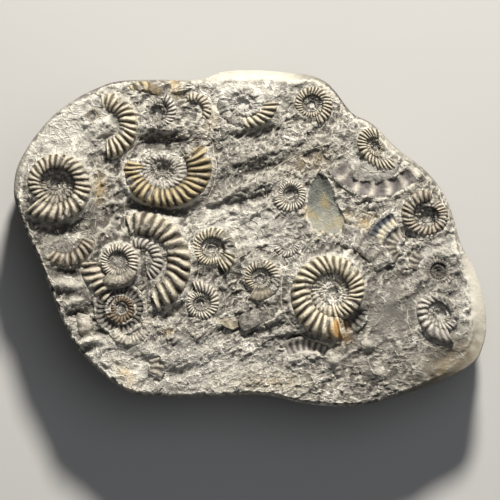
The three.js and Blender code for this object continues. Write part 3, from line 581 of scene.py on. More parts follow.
# Plates: loose pieces of shell and stone lying in the face, as outlines in face axes. rise: how far
# the middle stands over the edge. lean: slope along u and v. wobble: unevenness. fade: how much
# darker the plate gets along v.
PLATES = [
    dict(name="olive_shell_plate", node="shell_plate", level=30.9, rise=-0.9, lean=(0.03, 0.03),
         finish="olive_shell", wobble=0.16, fade=0.5, outline=[
             (20.2, 24.9), (18.4, 22.4), (17.0, 19.6), (16.2, 15.6), (16.3, 11.4), (18.4, 6.6),
             (22.2, 4.8), (26.6, 5.0), (29.3, 8.2), (27.3, 12.4), (25.6, 16.2), (24.5, 20.6),
             (22.3, 23.7)]),
    dict(name="stone_flake_over_scallops", node="limestone_matrix", level=32.3, rise=0.3,
         lean=(0.0, 0.06), finish="limestone", wobble=0.45, outline=[
             (30.8, 22.6), (33.2, 21.4), (35.0, 21.6), (36.6, 20.4), (38.4, 21.0), (40.2, 21.6),
             (42.4, 22.2), (44.2, 24.0), (45.0, 26.4), (41.6, 28.2), (36.0, 28.0), (32.0, 26.4)]),
    dict(name="grey_stone_slab", node="limestone_matrix", level=32.7, rise=0.35,
         lean=(0.0, 0.02), finish="limestone", wobble=0.35, outline=[
             (-4.6, -20.6), (-2.0, -19.0), (0.2, -19.6), (3.8, -18.2), (6.9, -18.0), (6.6, -20.4),
             (4.4, -21.8), (1.0, -23.2), (-2.2, -24.8), (-4.0, -24.2)]),
    dict(name="cream_shell_flake", node="limestone_matrix", level=31.9, rise=0.0,
         lean=(0.0, 0.08), finish="cream_calcite", wobble=0.3, outline=[
             (-11.7, -20.7), (-11.4, -20.4), (-8.5, -20.9), (-6.1, -20.6), (-5.6, -20.8),
             (-3.8, -22.6), (-3.6, -23.1), (-6.3, -24.3), (-6.9, -24.3), (-9.4, -23.1),
             (-11.6, -21.1)]),
]

# Thin worn shell edges standing a little off the coils: centre, radius, from and to in degrees.
THREAD_ARCS = [
    (-61.8, 21.0, 13.9, -38, 64), (-27.8, 25.6, 16.3, -52, 40), (-35.4, -2.7, 18.7, -46, 38),
    (-41.3, -18.0, 8.3, -45, 66), (-13.2, 0.5, 9.3, -20, 118), (2.0, -8.3, 8.9, 10, 150),
    (24.7, -12.7, 16.3, 146, 262), (11.4, 17.9, 7.7, 120, 262), (53.4, 11.2, 9.2, 120, 232),
    (-16.4, -16.2, 7.9, -60, 60), (58.0, -19.6, 10.4, 168, 262), (38.2, 33.7, 18.2, 222, 318),
    (-45.8, 39.2, 11.3, -70, 40), (-3.1, 43.6, 11.6, -40, 6), (37.6, 33.2, 8.9, 190, 300),
]
THREADS = 26             # stray ones, scattered
THREAD_STEP = 0.55
THREAD_RADIUS = 0.1
FLAKES = 650
RAY_START = 0.06         # above the whole block, in metres
LOWEST_THREAD = 0.0285   # threads and flakes lie no lower than this, in metres
LOWEST_FLAKE = 0.0287


# ---- The stone --------------------------------------------------------------------------------


def outline_by_angle():
    """The outline seen from the block's middle: angle, distance, rim width and lean, in mm."""
    u, v, rim = smooth_loop(OUTLINE, len(OUTLINE) * OUTLINE_FINENESS).T
    x, y = to_block(u, v)
    x = (x - (x.max() + x.min()) / 2) * BLOCK_LENGTH / (x.max() - x.min())
    y = (y - (y.max() + y.min()) / 2) * BLOCK_WIDTH / (y.max() - y.min())
    along_x, along_y = np.roll(x, -1) - np.roll(x, 1), np.roll(y, -1) - np.roll(y, 1)
    distance = np.hypot(x, y)
    lean = np.abs(x * along_y - y * along_x) / (distance * np.hypot(along_x, along_y))
    return np.arctan2(y, x), (distance, rim, lean)


EDGE_ANGLES, EDGE_MEASURES = outline_by_angle()


def edge_at(around):
    """The edge's distance from the middle, the rim's width and the lean, in these directions."""
    return [np.interp(around, EDGE_ANGLES, values, period=FULL_TURN) for values in EDGE_MEASURES]


def side_height(inset, rim):
    """The side's height where it stands back from the outline by inset, above the girth."""
    levels = [s for s in SIDE if s[0] >= GIRTH]
    backs = [back + share * rim for _, back, share in levels]
    height = np.full_like(inset, levels[-1][0])
    for (low, *_), (high, *_), near, far in zip(levels, levels[1:], backs, backs[1:]):
        t = (inset - near) / np.maximum(far - near, 1e-6)
        height = np.where((t >= 0.0) & (t < 1.0), low + (high - low) * t, height)
    return height


def soft_min(a, b, softness):
    """The lower of two heights, rounded off where they meet."""
    share = np.clip(0.5 + 0.5 * (b - a) / softness, 0.0, 1.0)
    return b * (1 - share) + a * share - softness * share * (1.0 - share)


def place_in_shell(shell, u, v):
    """Where points lie in a coil's plan: how surely within its arc, and their share of its radius."""
    du = u - shell["at"][0]
    dv = (v - shell["at"][1] + shell["slant"] * du) / shell["flat"]
    hand = 1.0 if shell["wound"] == "cw" else -1.0
    back = (hand * (np.arctan2(dv, du) - math.radians(shell["mouth"]))) % FULL_TURN
    local = shell["radius"] * shell["growth"] ** (-back / FULL_TURN)
    span = FULL_TURN * min(1.0, shell["turns"])
    if shell["turns"] < 1:
        ragged = back + 0.06 * noise_at(u / 1.2, v / 1.2, 3.7, 3)
        within = smooth_step(ragged, 0.0, 0.16) * (1.0 - smooth_step(ragged, span - 0.16, span))
    else:
        within = smooth_step(back, -0.01, 0.0) * (1.0 - smooth_step(back, span, span + 0.15))
    return within, np.hypot(du, dv) / local


def place_in_mould(mould, u, v):
    """Where points lie round a mould's centre: how far away, and how many degrees past its start."""
    du, dv = u - mould["around"][0], v - mould["around"][1]
    return np.hypot(du, dv), (np.degrees(np.arctan2(dv, du)) - mould["arc"][0]) % 360


def plate_edge(plate):
    """A plate's middle, and a function that gives its edge's distance from there at each angle."""
    loop = smooth_loop(plate["outline"], 360)
    middle = loop.mean(axis=0)
    away_u, away_v = (loop - middle).T

    def reach(angle):
        return np.interp(angle, np.arctan2(away_v, away_u), np.hypot(away_u, away_v),
                         period=FULL_TURN)
    return middle, reach


def open_stone(u, v):
    """True where neither the worn rim nor a shell, a mould or a plate lies."""
    x, y = to_block(u, v)
    edge, rim, _ = edge_at(np.arctan2(y, x))
    free = edge - np.hypot(x, y) > 1.2 + 1.2 * rim
    for shell in SHELLS:
        within, share = place_in_shell(shell, u, v)
        centre, reach = shell["tube"]
        free &= ~((within > 0.5) & (np.abs(share - centre) < reach + 0.04))
    for mould in MOULDS:
        (near, far), (start, end) = mould["reach"], mould["arc"]
        away, turned = place_in_mould(mould, u, v)
        free &= ~((turned < end - start + 0.01) & (away > near) & (away < far))
    for plate in PLATES:
        middle = np.mean(plate["outline"], axis=0)
        reach = np.hypot(*(np.array(plate["outline"]) - middle).T).mean()
        free &= np.hypot(u - middle[0], v - middle[1]) > reach
    return free


def stains_and_shadows_at(u, v):
    """How strongly each stain, or patch of painted shadow, colours each point, blotchy at its edges, 0
    to 1.
    """
    blotch = 0.75 + 0.7 * noise_at(u / 2.6, v / 2.6, 5.9, 4)
    stains_and_shadows = {}
    for name, places in STAINS_AND_SHADOWS.items():
        strongest = np.max([place[5] * spot(u, v, place) for place in places], axis=0)
        stains_and_shadows[name] = np.clip(strongest * blotch, 0.0, 1.0)
    return stains_and_shadows


def rugged_stone(u, v, rim_share):
    """The open stone's height: lumps and hollows, ledges, flakes and a web of shell edges."""
    height = np.full_like(u, FACE_LEVEL)
    for lump in LUMPS:
        height += lump[5] * spot(u, v, lump)
    rough = np.ones_like(u)
    for place in SMOOTH_PLACES:
        rough *= 1.0 - place[5] * spot(u, v, place)
    rough *= 1.0 - 0.9 * rim_share
    su, sv = u + 0.9 * noise_at(u / 3, v / 3, 2.2, 2), v + 0.9 * noise_at(u / 3, v / 3, 6.2, 2)
    wild = smooth_step(noise_at(u / 11, v / 11, 9.4, 3), -0.5, 0.5)
    height += (0.1 + 0.9 * rough) * 1.6 * ledges(su, sv, 8.0, 4.0, 4.4, 24, 1.8)
    height += rough * 0.4 * noise_at(u / 6.5, v / 6.5, 1.3, 4, "ridged")
    height += rough * (0.1 + 0.6 * wild) * facets(su, sv, 3.6, 1.7, 20, 1.8)
    height += rough * (0.15 + 0.3 * wild) * facets(su, sv, 1.7, 5.1, 35, 1.8)
    height += rough * (0.1 + 0.5 * (1 - wild)) * webbed(su, sv, 3.4, 2.9, 25, 2.4)
    height += rough * 0.18 * webbed(su, sv, 1.5, 6.3, 60, 1.8)
    height += rough * 0.1 * noise_at(u / 1.0, v / 1.0, 8.7, 3, "ridged")
    return height


def bed_for_mould(mould, u, v, height):
    """Cuts the stone away under a mould, and raises its lip."""
    (near, far), (start, end) = mould["reach"], mould["arc"]
    away, turned = place_in_mould(mould, u, v)
    span = end - start
    ends = np.ones_like(u) if span == 360 else (
        smooth_step(turned, 0, 8) * (1.0 - smooth_step(turned, span - 8, span)))
    ragged = 0.45 * noise_at(u / 1.5, v / 1.5, mould["level"], 3)
    off_middle = np.abs(away - (near + far) / 2) + ragged
    half = (far - near) / 2
    clear = ends * (1.0 - smooth_step(off_middle, half - 1.7, half - 0.7))
    height = mixed(height, np.minimum(height, mould["level"] - mould["depth"] - 0.3), clear)
    beyond = (away - far + ragged) / 0.6
    return height + mould["lip"] * ends * np.exp(-beyond * beyond)


def bed_for_plate(plate, u, v, height):
    """Cuts the stone away under a plate. A sunken plate has a ragged edge of stone over it."""
    middle, reach = plate_edge(plate)
    du, dv = u - middle[0], v - middle[1]
    lap = 0.07 if plate["rise"] < 0 else 0.0
    share = np.hypot(du, dv) / reach(np.arctan2(dv, du))
    share = share + lap * noise_at(u / 1.3, v / 1.3, plate["level"], 3)
    bed = plate["level"] + min(0.0, plate["rise"]) - 0.6
    bed = bed + plate["lean"][0] * du + plate["lean"][1] * dv
    clear = 1.0 - smooth_step(share, 0.88 - lap, 1.02 - lap)
    return mixed(height, np.minimum(height, bed), clear)


def bed_for_shell(shell, u, v, height):
    """Levels the stone under a shell, up to its side, and dips it under the inner turns."""
    within, share = place_in_shell(shell, u, v)
    within_coil = 1.0 - smooth_step(share, 0.5, 0.72)
    inside = 1.0 - smooth_step(share, 0.9, 1.3)
    if shell["turns"] < 1:
        within, within_coil = smooth_step(within, 0.3, 1.0), 0.0
        centre, reach = shell["tube"]
        inside = 1.0 - smooth_step(np.abs(share - centre), reach * 0.9, reach + 0.16)
    dip = (shell["fill"] - shell["dish"]) * within_coil
    hug = 0.02 + 0.06 * smooth_step(share, 0.85, 1.0)
    bed = shell["level"] + (dip + hug) * shell["radius"]
    bed = bed + (0.6 - 0.5 * within_coil) * (height - FACE_LEVEL)
    bed = bed + shell["tilt"] * (v - shell["at"][1])
    return mixed(height, bed, within * inside)


def shape_the_face(mesh):
    """Spreads the flat grid to the outline, raises its face, and marks hollows for painted shade and
    highlight, the rim, and each stain and painted shadow.
    """
    s, t, _ = points_of(mesh).T
    disc_x, disc_y = s * np.sqrt(1 - t * t / 2), t * np.sqrt(1 - s * s / 2)
    reach, around = np.hypot(disc_x, disc_y), np.arctan2(disc_y, disc_x)
    edge, rim, lean = edge_at(around)
    x, y = edge * reach * np.cos(around), edge * reach * np.sin(around)
    inset = edge * (1.0 - reach) * lean
    u, v = to_face(x, y)
    ragged = 0.9 * noise_at(u / 4.0, v / 4.0, 3.3, 4)
    wide = smooth_step(rim, 1.0, 3.4)
    rim_share = (1.0 - smooth_step(inset + ragged, rim - 0.2, rim + 0.8)) * wide
    craggy = 1.0 - 0.85 * wide
    crags = 0.45 * facets(u, v, 2.6, 7.7, 0, 1.4) + 0.35 * noise_at(u / 1.3, v / 1.3, 2.7, 3)
    eaten = inset + craggy * crags * smooth_step(inset, 0.0, 0.8)
    ledge = rim * (0.2 * noise_at(u / 3.4, v / 3.4, 8.1, 4) + 0.05 * facets(u, v, 1.5, 2.2))
    eaten += (1.0 - craggy) * ledge * smooth_step(inset / rim, 0.5, 0.85)
    height = rugged_stone(u, v, rim_share)
    for bed_under, pieces in (
            (bed_for_mould, MOULDS), (bed_for_plate, PLATES), (bed_for_shell, SHELLS)):
        for piece in pieces:
            height = bed_under(piece, u, v, height)
    height = soft_min(height, side_height(eaten, rim * (1.0 - 0.8 * craggy)), 0.6)
    move_points(mesh, x, y, height)
    # How far each point lies below the blurred face: painted shade in the low places and a painted
    # highlight on the high ones.
    rows = height.reshape(-1, GRID_LONG + 1)
    blurred = rows.copy()
    for _ in range(6):
        padded = np.pad(blurred, 1, mode="edge")
        blurred = (padded[:-2, 1:-1] + padded[2:, 1:-1] + padded[1:-1, :-2] + padded[1:-1, 2:]) / 4
    hollow = np.clip((blurred - rows).ravel() * 2.2, -1.0, 1.0)
    marks = {"hollow": hollow, "rim": rim_share, "face": np.ones_like(u), **stains_and_shadows_at(u, v)}
    mark_points(mesh, marks)
    return marks


def build_block():
    """The whole stone: a grid bent to the outline, its face cut and raised, then the side below."""
    block = start_piece("limestone_block", bpy.ops.mesh.primitive_grid_add,
                        x_subdivisions=GRID_LONG, y_subdivisions=GRID_ACROSS, size=2.0)
    mesh = block.data
    first = len(mesh.vertices)
    marks = shape_the_face(mesh)

    # The side: the grid's open edge, extruded down in rings that are drawn in or out, then closed.
    start_editing("DESELECT")
    bpy.ops.mesh.select_non_manifold(extend=False)
    for _ in range(SIDE_RINGS):
        bpy.ops.mesh.extrude_edges_move()
    bpy.ops.mesh.edge_face_add()
    bpy.ops.object.mode_set(mode="OBJECT")
    x, y, z = (points_of(mesh) / MM).T
    ring_size = (len(x) - first) // SIDE_RINGS
    lower = [s for s in SIDE if s[0] <= GIRTH]
    for ring in range(SIDE_RINGS):
        height = GIRTH * (1.0 - (ring + 1) / SIDE_RINGS)
        part = slice(first + ring * ring_size, first + (ring + 1) * ring_size)
        ax, ay = x[part], y[part]
        away = np.hypot(ax, ay)
        back = np.interp(height, [s[0] for s in lower], [s[1] for s in lower])
        # Broken stone, with the layers' bedding showing as level bands.
        wobble = noise_at(ax / 16, ay / 16, height / 16, 3) * 0.5
        wobble += 0.35 * noise_at(ax / 14, ay / 14, height / 3.4, 4)
        wobble += 0.25 * noise_at(ax / 5, ay / 5, height / 3.6, 4, "ridged")
        wobble += 0.2 * noise_at(ax / 1.8, ay / 1.8, height / 1.8, 3)
        wobble = np.minimum(wobble, 0.5) * min(1.0, height / 3)
        scale = (away - back - (0.5 - wobble) * min(1.0, (GIRTH - height) / 3)) / away
        x[part], y[part], z[part] = ax * scale, ay * scale, height
    move_points(mesh, x, y, z)
    # What marks the face is soon lost down the side.
    kept = np.interp(z, [16.0, 24.0, 29.6], [0.0, 0.35, 1.0])
    values = np.empty(len(z), dtype=np.float32)
    for name in marks:
        mesh.attributes[name].data.foreach_get("value", values)
        mesh.attributes[name].data.foreach_set("value", values * kept.astype(np.float32))
    mesh.update()
    turn_outwards()
    bpy.ops.object.shade_smooth()
    return block


# ---- The shells -------------------------------------------------------------------------------


def coil_stock(shell):
    """A plain coiled tube of unit radius: one rib's length, extruded from a ring and then repeated."""
    fine = shell["radius"] > FINE_RADIUS
    steps = RIB_STEPS if fine else RIB_STEPS - FEWER_STEPS
    centre, reach = shell["tube"]
    stock = start_piece(
        shell["node"] + "_" + shell["part"], bpy.ops.mesh.primitive_circle_add,
        vertices=TUBE_POINTS if fine else TUBE_POINTS - FEWER_POINTS, radius=reach,
        location=(centre, 0.0, 0.0), rotation=(math.pi / 2, 0.0, 0.0))
    bpy.ops.object.transform_apply(location=True, rotation=True, scale=True)
    start_editing()
    step = FULL_TURN / shell["ribs"] / steps
    shrink = shell["growth"] ** (-1 / shell["ribs"] / steps)
    for _ in range(steps):
        bpy.ops.mesh.extrude_edges_move()
        bpy.ops.transform.rotate(value=-step, orient_axis="Z", center_override=(0.0, 0.0, 0.0))
        bpy.ops.transform.resize(value=(shrink,) * 3, center_override=(0.0, 0.0, 0.0))
    bpy.ops.object.mode_set(mode="OBJECT")
    bpy.ops.object.empty_add()
    guide = bpy.context.object
    guide.rotation_euler.z = step * steps
    guide.scale = (shrink ** steps,) * 3
    select_only(stock)
    row = stock.modifiers.new("ribs", "ARRAY")
    row.use_relative_offset = False
    row.use_object_offset = True
    row.offset_object = guide
    row.count = max(2, round(shell["ribs"] * shell["turns"]))
    row.use_merge_vertices = True
    row.merge_threshold = 1e-4
    bpy.context.view_layer.update()
    bpy.ops.object.modifier_apply(modifier=row.name)
    bpy.data.objects.remove(guide)
    turn_outwards(bpy.ops.mesh.fill_holes, sides=0)
    return stock


def unwind(shell, away, turn, z):
    """How far round the coil each point lies, back from the mouth: the turn whose tube fits best."""
    centre, reach = shell["tube"]
    best, wound = np.full_like(away, 9.0), turn.copy()
    for lap in range(int(math.ceil(shell["turns"])) + 1):
        candidate = turn + FULL_TURN * lap
        size = shell["growth"] ** (-candidate / FULL_TURN)
        miss = np.abs(np.hypot(away / size - centre, z / size) - reach)
        better = miss < best - 1e-6
        best, wound = np.where(better, miss, best), np.where(better, candidate, wound)
    return np.where(wound > FULL_TURN * shell["turns"] + 0.5, wound - FULL_TURN, wound)


def between_turns(laps, ends, lead, full, after):
    """1 between two places along a coil: it rises from lead before the first to full past it."""
    start, end = ends
    return smooth_step(laps, start - lead, start + full) * (1.0 - smooth_step(laps, end, end + after))


def build_shell(shell):
    """A coiled tube, given its ribs and wear, and laid in the face."""
    stock = coil_stock(shell)
    mesh = stock.data
    x, y, z = points_of(mesh).T
    radius, ribs, rib = shell["radius"], shell["ribs"], shell["rib"]
    centre, reach = shell["tube"]
    away = np.hypot(x, y)
    wound = unwind(shell, away, np.arctan2(y, x) % FULL_TURN, z)
    laps = wound / FULL_TURN
    size = shell["growth"] ** -laps
    out, up = (away / size - centre) / reach, z / size / reach
    inner = smooth_step(laps, 0.9, 1.2)

    # The ribs: each a little off its even place and with a height of its own.
    stray = 0.3 * noise_at(laps * ribs / 2.3, 0.6 * out, ribs + 0.5, 2)
    phase = (laps * ribs + 0.25 * np.clip(out, -1, 1) + stray) % 1.0
    bare = shell["bare"] * between_turns(laps, shell["smooth"], 0.02, 0.0, 0.04)
    crest = mixed(smooth_step(np.abs(2.0 * phase - 1.0), 0.08, 0.8), 0.35, bare)
    fade = np.clip(0.75 + 0.45 * out, 0.3, 1.0) * (1.0 - smooth_step(out, 0.66, 0.94))
    own = 1.0 + 0.45 * noise_at(np.floor(laps * ribs + stray) * 0.61, 0.0 * out, ribs, 1)
    ruin = between_turns(laps, shell["ruin"], 0.04, 0.02, 0.05)
    lift = 1.0 + rib * fade * (1.0 - 0.3 * inner) * own * (crest - 0.55) * (1.0 - 0.7 * ruin)

    # The coil, wound to its mouth.
    hand = 1.0 if shell["wound"] == "cw" else -1.0
    angle = math.radians(shell["mouth"]) + hand * wound
    new_away = (centre + out * (1.0 + 0.12 * (lift - 1.0)) * reach) * size
    u, v = radius * new_away * np.cos(angle), radius * new_away * np.sin(angle)
    w = radius * np.sign(up) * np.abs(up) ** 0.85 * lift * TUBE_RISE * reach / TUBE_REACH * size
    w -= shell["dish"] * radius * inner

    # Wear, chips and broken patches.
    wear = noise_at(u / 1.6, v / 1.6, w / 1.6 + ribs, 4)
    chips = noise_at(u / 0.7, v / 0.7, w / 0.7 + 7.0, 2, "ridged")
    broken = smooth_step(noise_at(u / 3.1, v / 3.1, w / 3.1 + 2.0 * ribs, 3), 0.15, 0.5)
    rough = shell["worn"] * (1.0 + 1.2 * inner + 0.8 * broken) + 3.0 * ruin
    w += 0.15 * rough * wear + 0.08 * rough * chips - 0.25 * broken
    w += shell["tilt"] * v * shell["flat"]
    if shell["turns"] < 1:
        ends = 1.0 - smooth_step(laps, -0.01, 0.05)
        ends = ends + smooth_step(laps, shell["turns"] - 0.06, shell["turns"])
        w -= 0.13 * radius * ends
    v = v * shell["flat"] - shell["slant"] * u + shell["at"][1]
    u = u + shell["at"][0]
    move_points(mesh, *to_block(u, v), w + shell["level"])

    # What the materials read: pale crests, clinging stone, and painted shade in the coil, partly real
    # dirtiness.
    buried = np.maximum(1.0 - smooth_step(up, -0.05, 0.25), np.maximum(0.75 * ruin, 0.6 * broken))
    inner = np.maximum(inner, shell["stony"])
    # Painted shade, partly real dirtiness: dark on the tube's inner flank by the seam, round the inner
    # turns, and in the low places of broken patches.
    dirt_and_shade = 0.9 * smooth_step(-out, 0.5, 1.0) + inner * (0.25 + 0.7 * smooth_step(out, 0.45, 0.95))
    dirt_and_shade = dirt_and_shade + 0.7 * ruin * smooth_step(-wear, 0.0, 0.5)
    mark_points(mesh, {
        "crest": 0.6 + (crest - 0.6) * min(1.0, rib / 0.35) * (1.0 - 0.5 * inner),
        "inner": inner, "buried": buried, "dirt_and_shade": np.clip(dirt_and_shade * shell["grime"], 0.0, 1.0),
        **stains_and_shadows_at(u, v)})
    if hand < 0:
        mesh.flip_normals()
    select_only(stock)
    bpy.ops.object.shade_smooth()
    return stock


# ---- Moulds, plates, threads and flakes -------------------------------------------------------


def back_with_stone(piece, thickness):
    """Turns an open sheet into a closed piece by giving it thickness downwards."""
    select_only(piece)
    backing = piece.modifiers.new("backing", "SOLIDIFY")
    backing.thickness = thickness * MM
    backing.offset = -1.0
    bpy.ops.object.modifier_apply(modifier=backing.name)
    turn_outwards(bpy.ops.mesh.remove_doubles, threshold=1e-6)
    bpy.ops.object.shade_smooth()


def build_mould(mould):
    """A hollow, ribbed arc: a flat grid bent round its centre, dished and scalloped."""
    (near, far), (start, end) = mould["reach"], mould["arc"]
    along = max(2 * RIB_STEPS, round((end - start) / 360 * mould["ribs"] * RIB_STEPS))
    piece = start_piece(mould["name"], bpy.ops.mesh.primitive_grid_add,
                        x_subdivisions=along, y_subdivisions=12, size=2.0)
    s, t, _ = points_of(piece.data).T
    angle = np.radians(start + (s + 1) / 2 * (end - start))
    away = near + (t + 1) / 2 * (far - near)
    phase = (angle * mould["ribs"] / FULL_TURN + 0.18 * t * t) % 1.0
    crest = np.abs(2 * phase - 1) ** 2.4
    u, v = mould["around"][0] + away * np.cos(angle), mould["around"][1] + away * np.sin(angle)
    w = mould["level"] - mould["depth"] * (1 - t * t) + mould["rib"] * crest * (1 - t ** 4)
    w = w - 0.7 * smooth_step(np.abs(t), 0.84, 1.0)
    w = w + 0.14 * noise_at(u / 1.2, v / 1.2, mould["level"], 4)
    shine = crest * (0.4 + 0.6 * (t + 1) / 2)
    shine = shine + mould["tone"] * (1.0 - shine)
    # Split: painted shade, the outer half of the trough dark as its shaded wall and the inner half pale
    # as its lit one.
    if mould["split"]:
        shine = 0.15 * crest + (0.55 + 0.3 * crest) * smooth_step(-t, -0.15 - 0.3 * crest, 0.15)
    buried = np.maximum(smooth_step(np.abs(t), 0.6, 0.95), mould["stony"])
    move_points(piece.data, *to_block(u, v), w)
    mark_points(piece.data, {"crest": shine, "buried": buried, **stains_and_shadows_at(u, v)})
    back_with_stone(piece, thickness=0.5)
    return piece


def build_plate(plate):
    """A plate from its outline: an edge loop drawn in towards the middle, ring by ring."""
    rings = 9
    piece = start_piece(plate["name"], bpy.ops.mesh.primitive_circle_add,
                        vertices=72, radius=1.0, fill_type="NOTHING")
    start_editing()
    for ring in range(rings):
        bpy.ops.mesh.extrude_edges_move()
        share = (rings - ring - 1) / (rings - ring) if ring < rings - 1 else 0.3
        bpy.ops.transform.resize(value=(share,) * 3, center_override=(0.0, 0.0, 0.0))
    bpy.ops.mesh.edge_face_add()
    bpy.ops.object.mode_set(mode="OBJECT")
    x, y, _ = points_of(piece.data).T
    share, turn = np.hypot(x, y), np.arctan2(y, x)
    middle, reach = plate_edge(plate)
    du, dv = share * reach(turn) * np.cos(turn), share * reach(turn) * np.sin(turn)
    u, v = middle[0] + du, middle[1] + dv
    w = plate["level"] + plate["rise"] * (1 - share ** 2)
    w = w + plate["lean"][0] * du + plate["lean"][1] * dv
    w = w + plate["wobble"] * noise_at(u / 1.8, v / 1.8, plate["level"], 4)
    tone = 0.5 - plate.get("fade", 0.0) * dv / 10 + 0.25 * noise_at(u / 2.5, v / 2.5, 4.4, 3)
    move_points(piece.data, *to_block(u, v), w)
    mark_points(piece.data, {
        "crest": tone, "buried": smooth_step(share, 0.85, 1.0), **stains_and_shadows_at(u, v)})
    back_with_stone(piece, thickness=1.2)
    return piece


def surface_under(pieces):
    """A function that finds the height and lie of the finished face at any place on it."""
    bpy.context.view_layer.update()
    depsgraph = bpy.context.evaluated_depsgraph_get()
    trees = [BVHTree.FromObject(piece, depsgraph) for piece in pieces]

    def touch(u, v):
        x, y = to_block(u, v)
        best = None
        for tree in trees:
            point, normal, _, _ = tree.ray_cast(Vector((x * MM, y * MM, RAY_START)), Vector((0, 0, -1)))
            if point and (best is None or point.z > best[0].z):
                best = (point, normal)
        return best
    return touch


def build_threads(touch, dice):
    """Thin pale edges of shell, lying along the face as round threads."""
    data = bpy.data.curves.new("shell_edge_threads", "CURVE")
    data.dimensions = "3D"
    data.bevel_depth = THREAD_RADIUS * MM
    data.bevel_resolution = 0
    data.use_fill_caps = True
    routes = []
    for cu, cv, radius, start, end in THREAD_ARCS:
        angles = np.radians(np.arange(start, end, 30 / radius))
        wavy = radius + 0.35 * noise_at(angles * 2.5, angles * 0 + cu, 1.0, 2)
        routes.append((cu + wavy * np.cos(angles), cv + wavy * np.sin(angles)))
    while len(routes) < THREADS + len(THREAD_ARCS):
        u0, v0 = dice.uniform(-68, 66), dice.uniform(-44, 52)
        heading = math.radians(dice.choice((22, 30, -48, -60, 75)) + dice.uniform(-14, 14))
        bend, steps = dice.uniform(-0.045, 0.045), dice.randint(6, 26)
        turns = heading + bend * np.arange(steps)
        u = u0 + np.cumsum(THREAD_STEP * np.cos(turns))
        v = v0 + np.cumsum(THREAD_STEP * np.sin(turns))
        if open_stone(u, v).all() and max(spot(u, v, p).max() for p in SMOOTH_PLACES) < 0.4:
            routes.append((u, v))
    for u, v in routes:
        hits = [touch(a, b) for a, b in zip(u, v)]
        points = [h[0] for h in hits if h and h[0].z > LOWEST_THREAD]
        if len(points) < 4:
            continue
        spline = data.splines.new("POLY")
        spline.points.add(len(points) - 1)
        for k, point in enumerate(points):
            near = points[max(0, k - 2):k + 3]
            height = (point.z + sum(p.z for p in near) / len(near)) / 2 + 0.02 * MM
            spline.points[k].co = (point.x, point.y, height, 1.0)
            spline.points[k].radius = min(1.0, 0.35 + 0.5 * min(k, len(points) - 1 - k))
    select_only(add_object("shell_edge_threads", data))
    bpy.ops.object.convert(target="MESH")
    return bpy.context.object


def flake_stock():
    """One sliver of shell: a bar, tapered to an edge, with its corners taken off."""
    flake = start_piece("sliver", bpy.ops.mesh.primitive_cube_add, size=1.0)
    start_editing()
    bpy.ops.mesh.subdivide(number_cuts=1)
    bpy.ops.object.mode_set(mode="OBJECT")
    for vertex in flake.data.vertices:
        x, y, z = vertex.co
        narrow = 1.0 - 1.3 * abs(x) ** 1.6
        vertex.co = (x, (y + 0.1 * x) * narrow, z * narrow * (1.0 - 0.7 * abs(y)))
    return flake


def build_flakes(touch, dice):
    """Shell hash: slivers and grains of broken shell standing out of the stone, as one piece."""
    stock = flake_stock()
    corners = np.array([vertex.co for vertex in stock.data.vertices])
    faces = [list(polygon.vertices) for polygon in stock.data.polygons]
    all_points, all_faces, tones = [], [], []
    while len(tones) < FLAKES:
        u = np.array([dice.uniform(-70, 68) for _ in range(400)])
        v = np.array([dice.uniform(-46, 54) for _ in range(400)])
        calm = np.max([spot(u, v, p) * p[5] for p in SMOOTH_PLACES], axis=0)
        chosen = open_stone(u, v) & (calm < 0.35)
        for a, b in zip(u[chosen], v[chosen]):
            hit = touch(a, b)
            if not hit or hit[0].z < LOWEST_FLAKE or hit[1].z < 0.3:
                continue
            length = dice.choice((0.5, 0.7, 0.7, 0.9, 1.3, 2.0)) * dice.uniform(0.7, 1.2)
            size = Vector((length, dice.uniform(0.3, 0.6), dice.uniform(0.2, 0.4))) * MM
            heading = FACE_TURN + math.radians(dice.choice((25, 25, -50, 80)) + dice.gauss(0, 40))
            lie = hit[1].to_track_quat("Z", "Y") @ Quaternion((0, 0, 1), heading)
            tip = Quaternion((1, 0, 0), dice.gauss(0, 0.4)) @ Quaternion((0, 1, 0), dice.gauss(0, 0.1))
            turn = np.array((lie @ tip).to_matrix())
            points = (corners * size) @ turn.T + np.array(hit[0]) - np.array((0, 0, 0.03 * MM))
            base = len(all_points) * len(corners)
            all_points.append(points)
            all_faces += [[base + i for i in face] for face in faces]
            tones.append(dice.random())
    mesh = bpy.data.meshes.new("shell_hash_flakes")
    mesh.from_pydata(np.concatenate(all_points).tolist(), [], all_faces)
    mark_points(mesh, {"tone": np.repeat(tones, len(corners))})
    bpy.data.objects.remove(stock)
    return add_object("shell_hash_flakes", mesh)


# ---- Materials --------------------------------------------------------------------------------


def summed(add, parts):
    """The sum of several values, each times its weight."""
    total = 0.0
    for part, weight in parts:
        total = add("Math", (part, weight, total), operation="MULTIPLY_ADD")
    return total


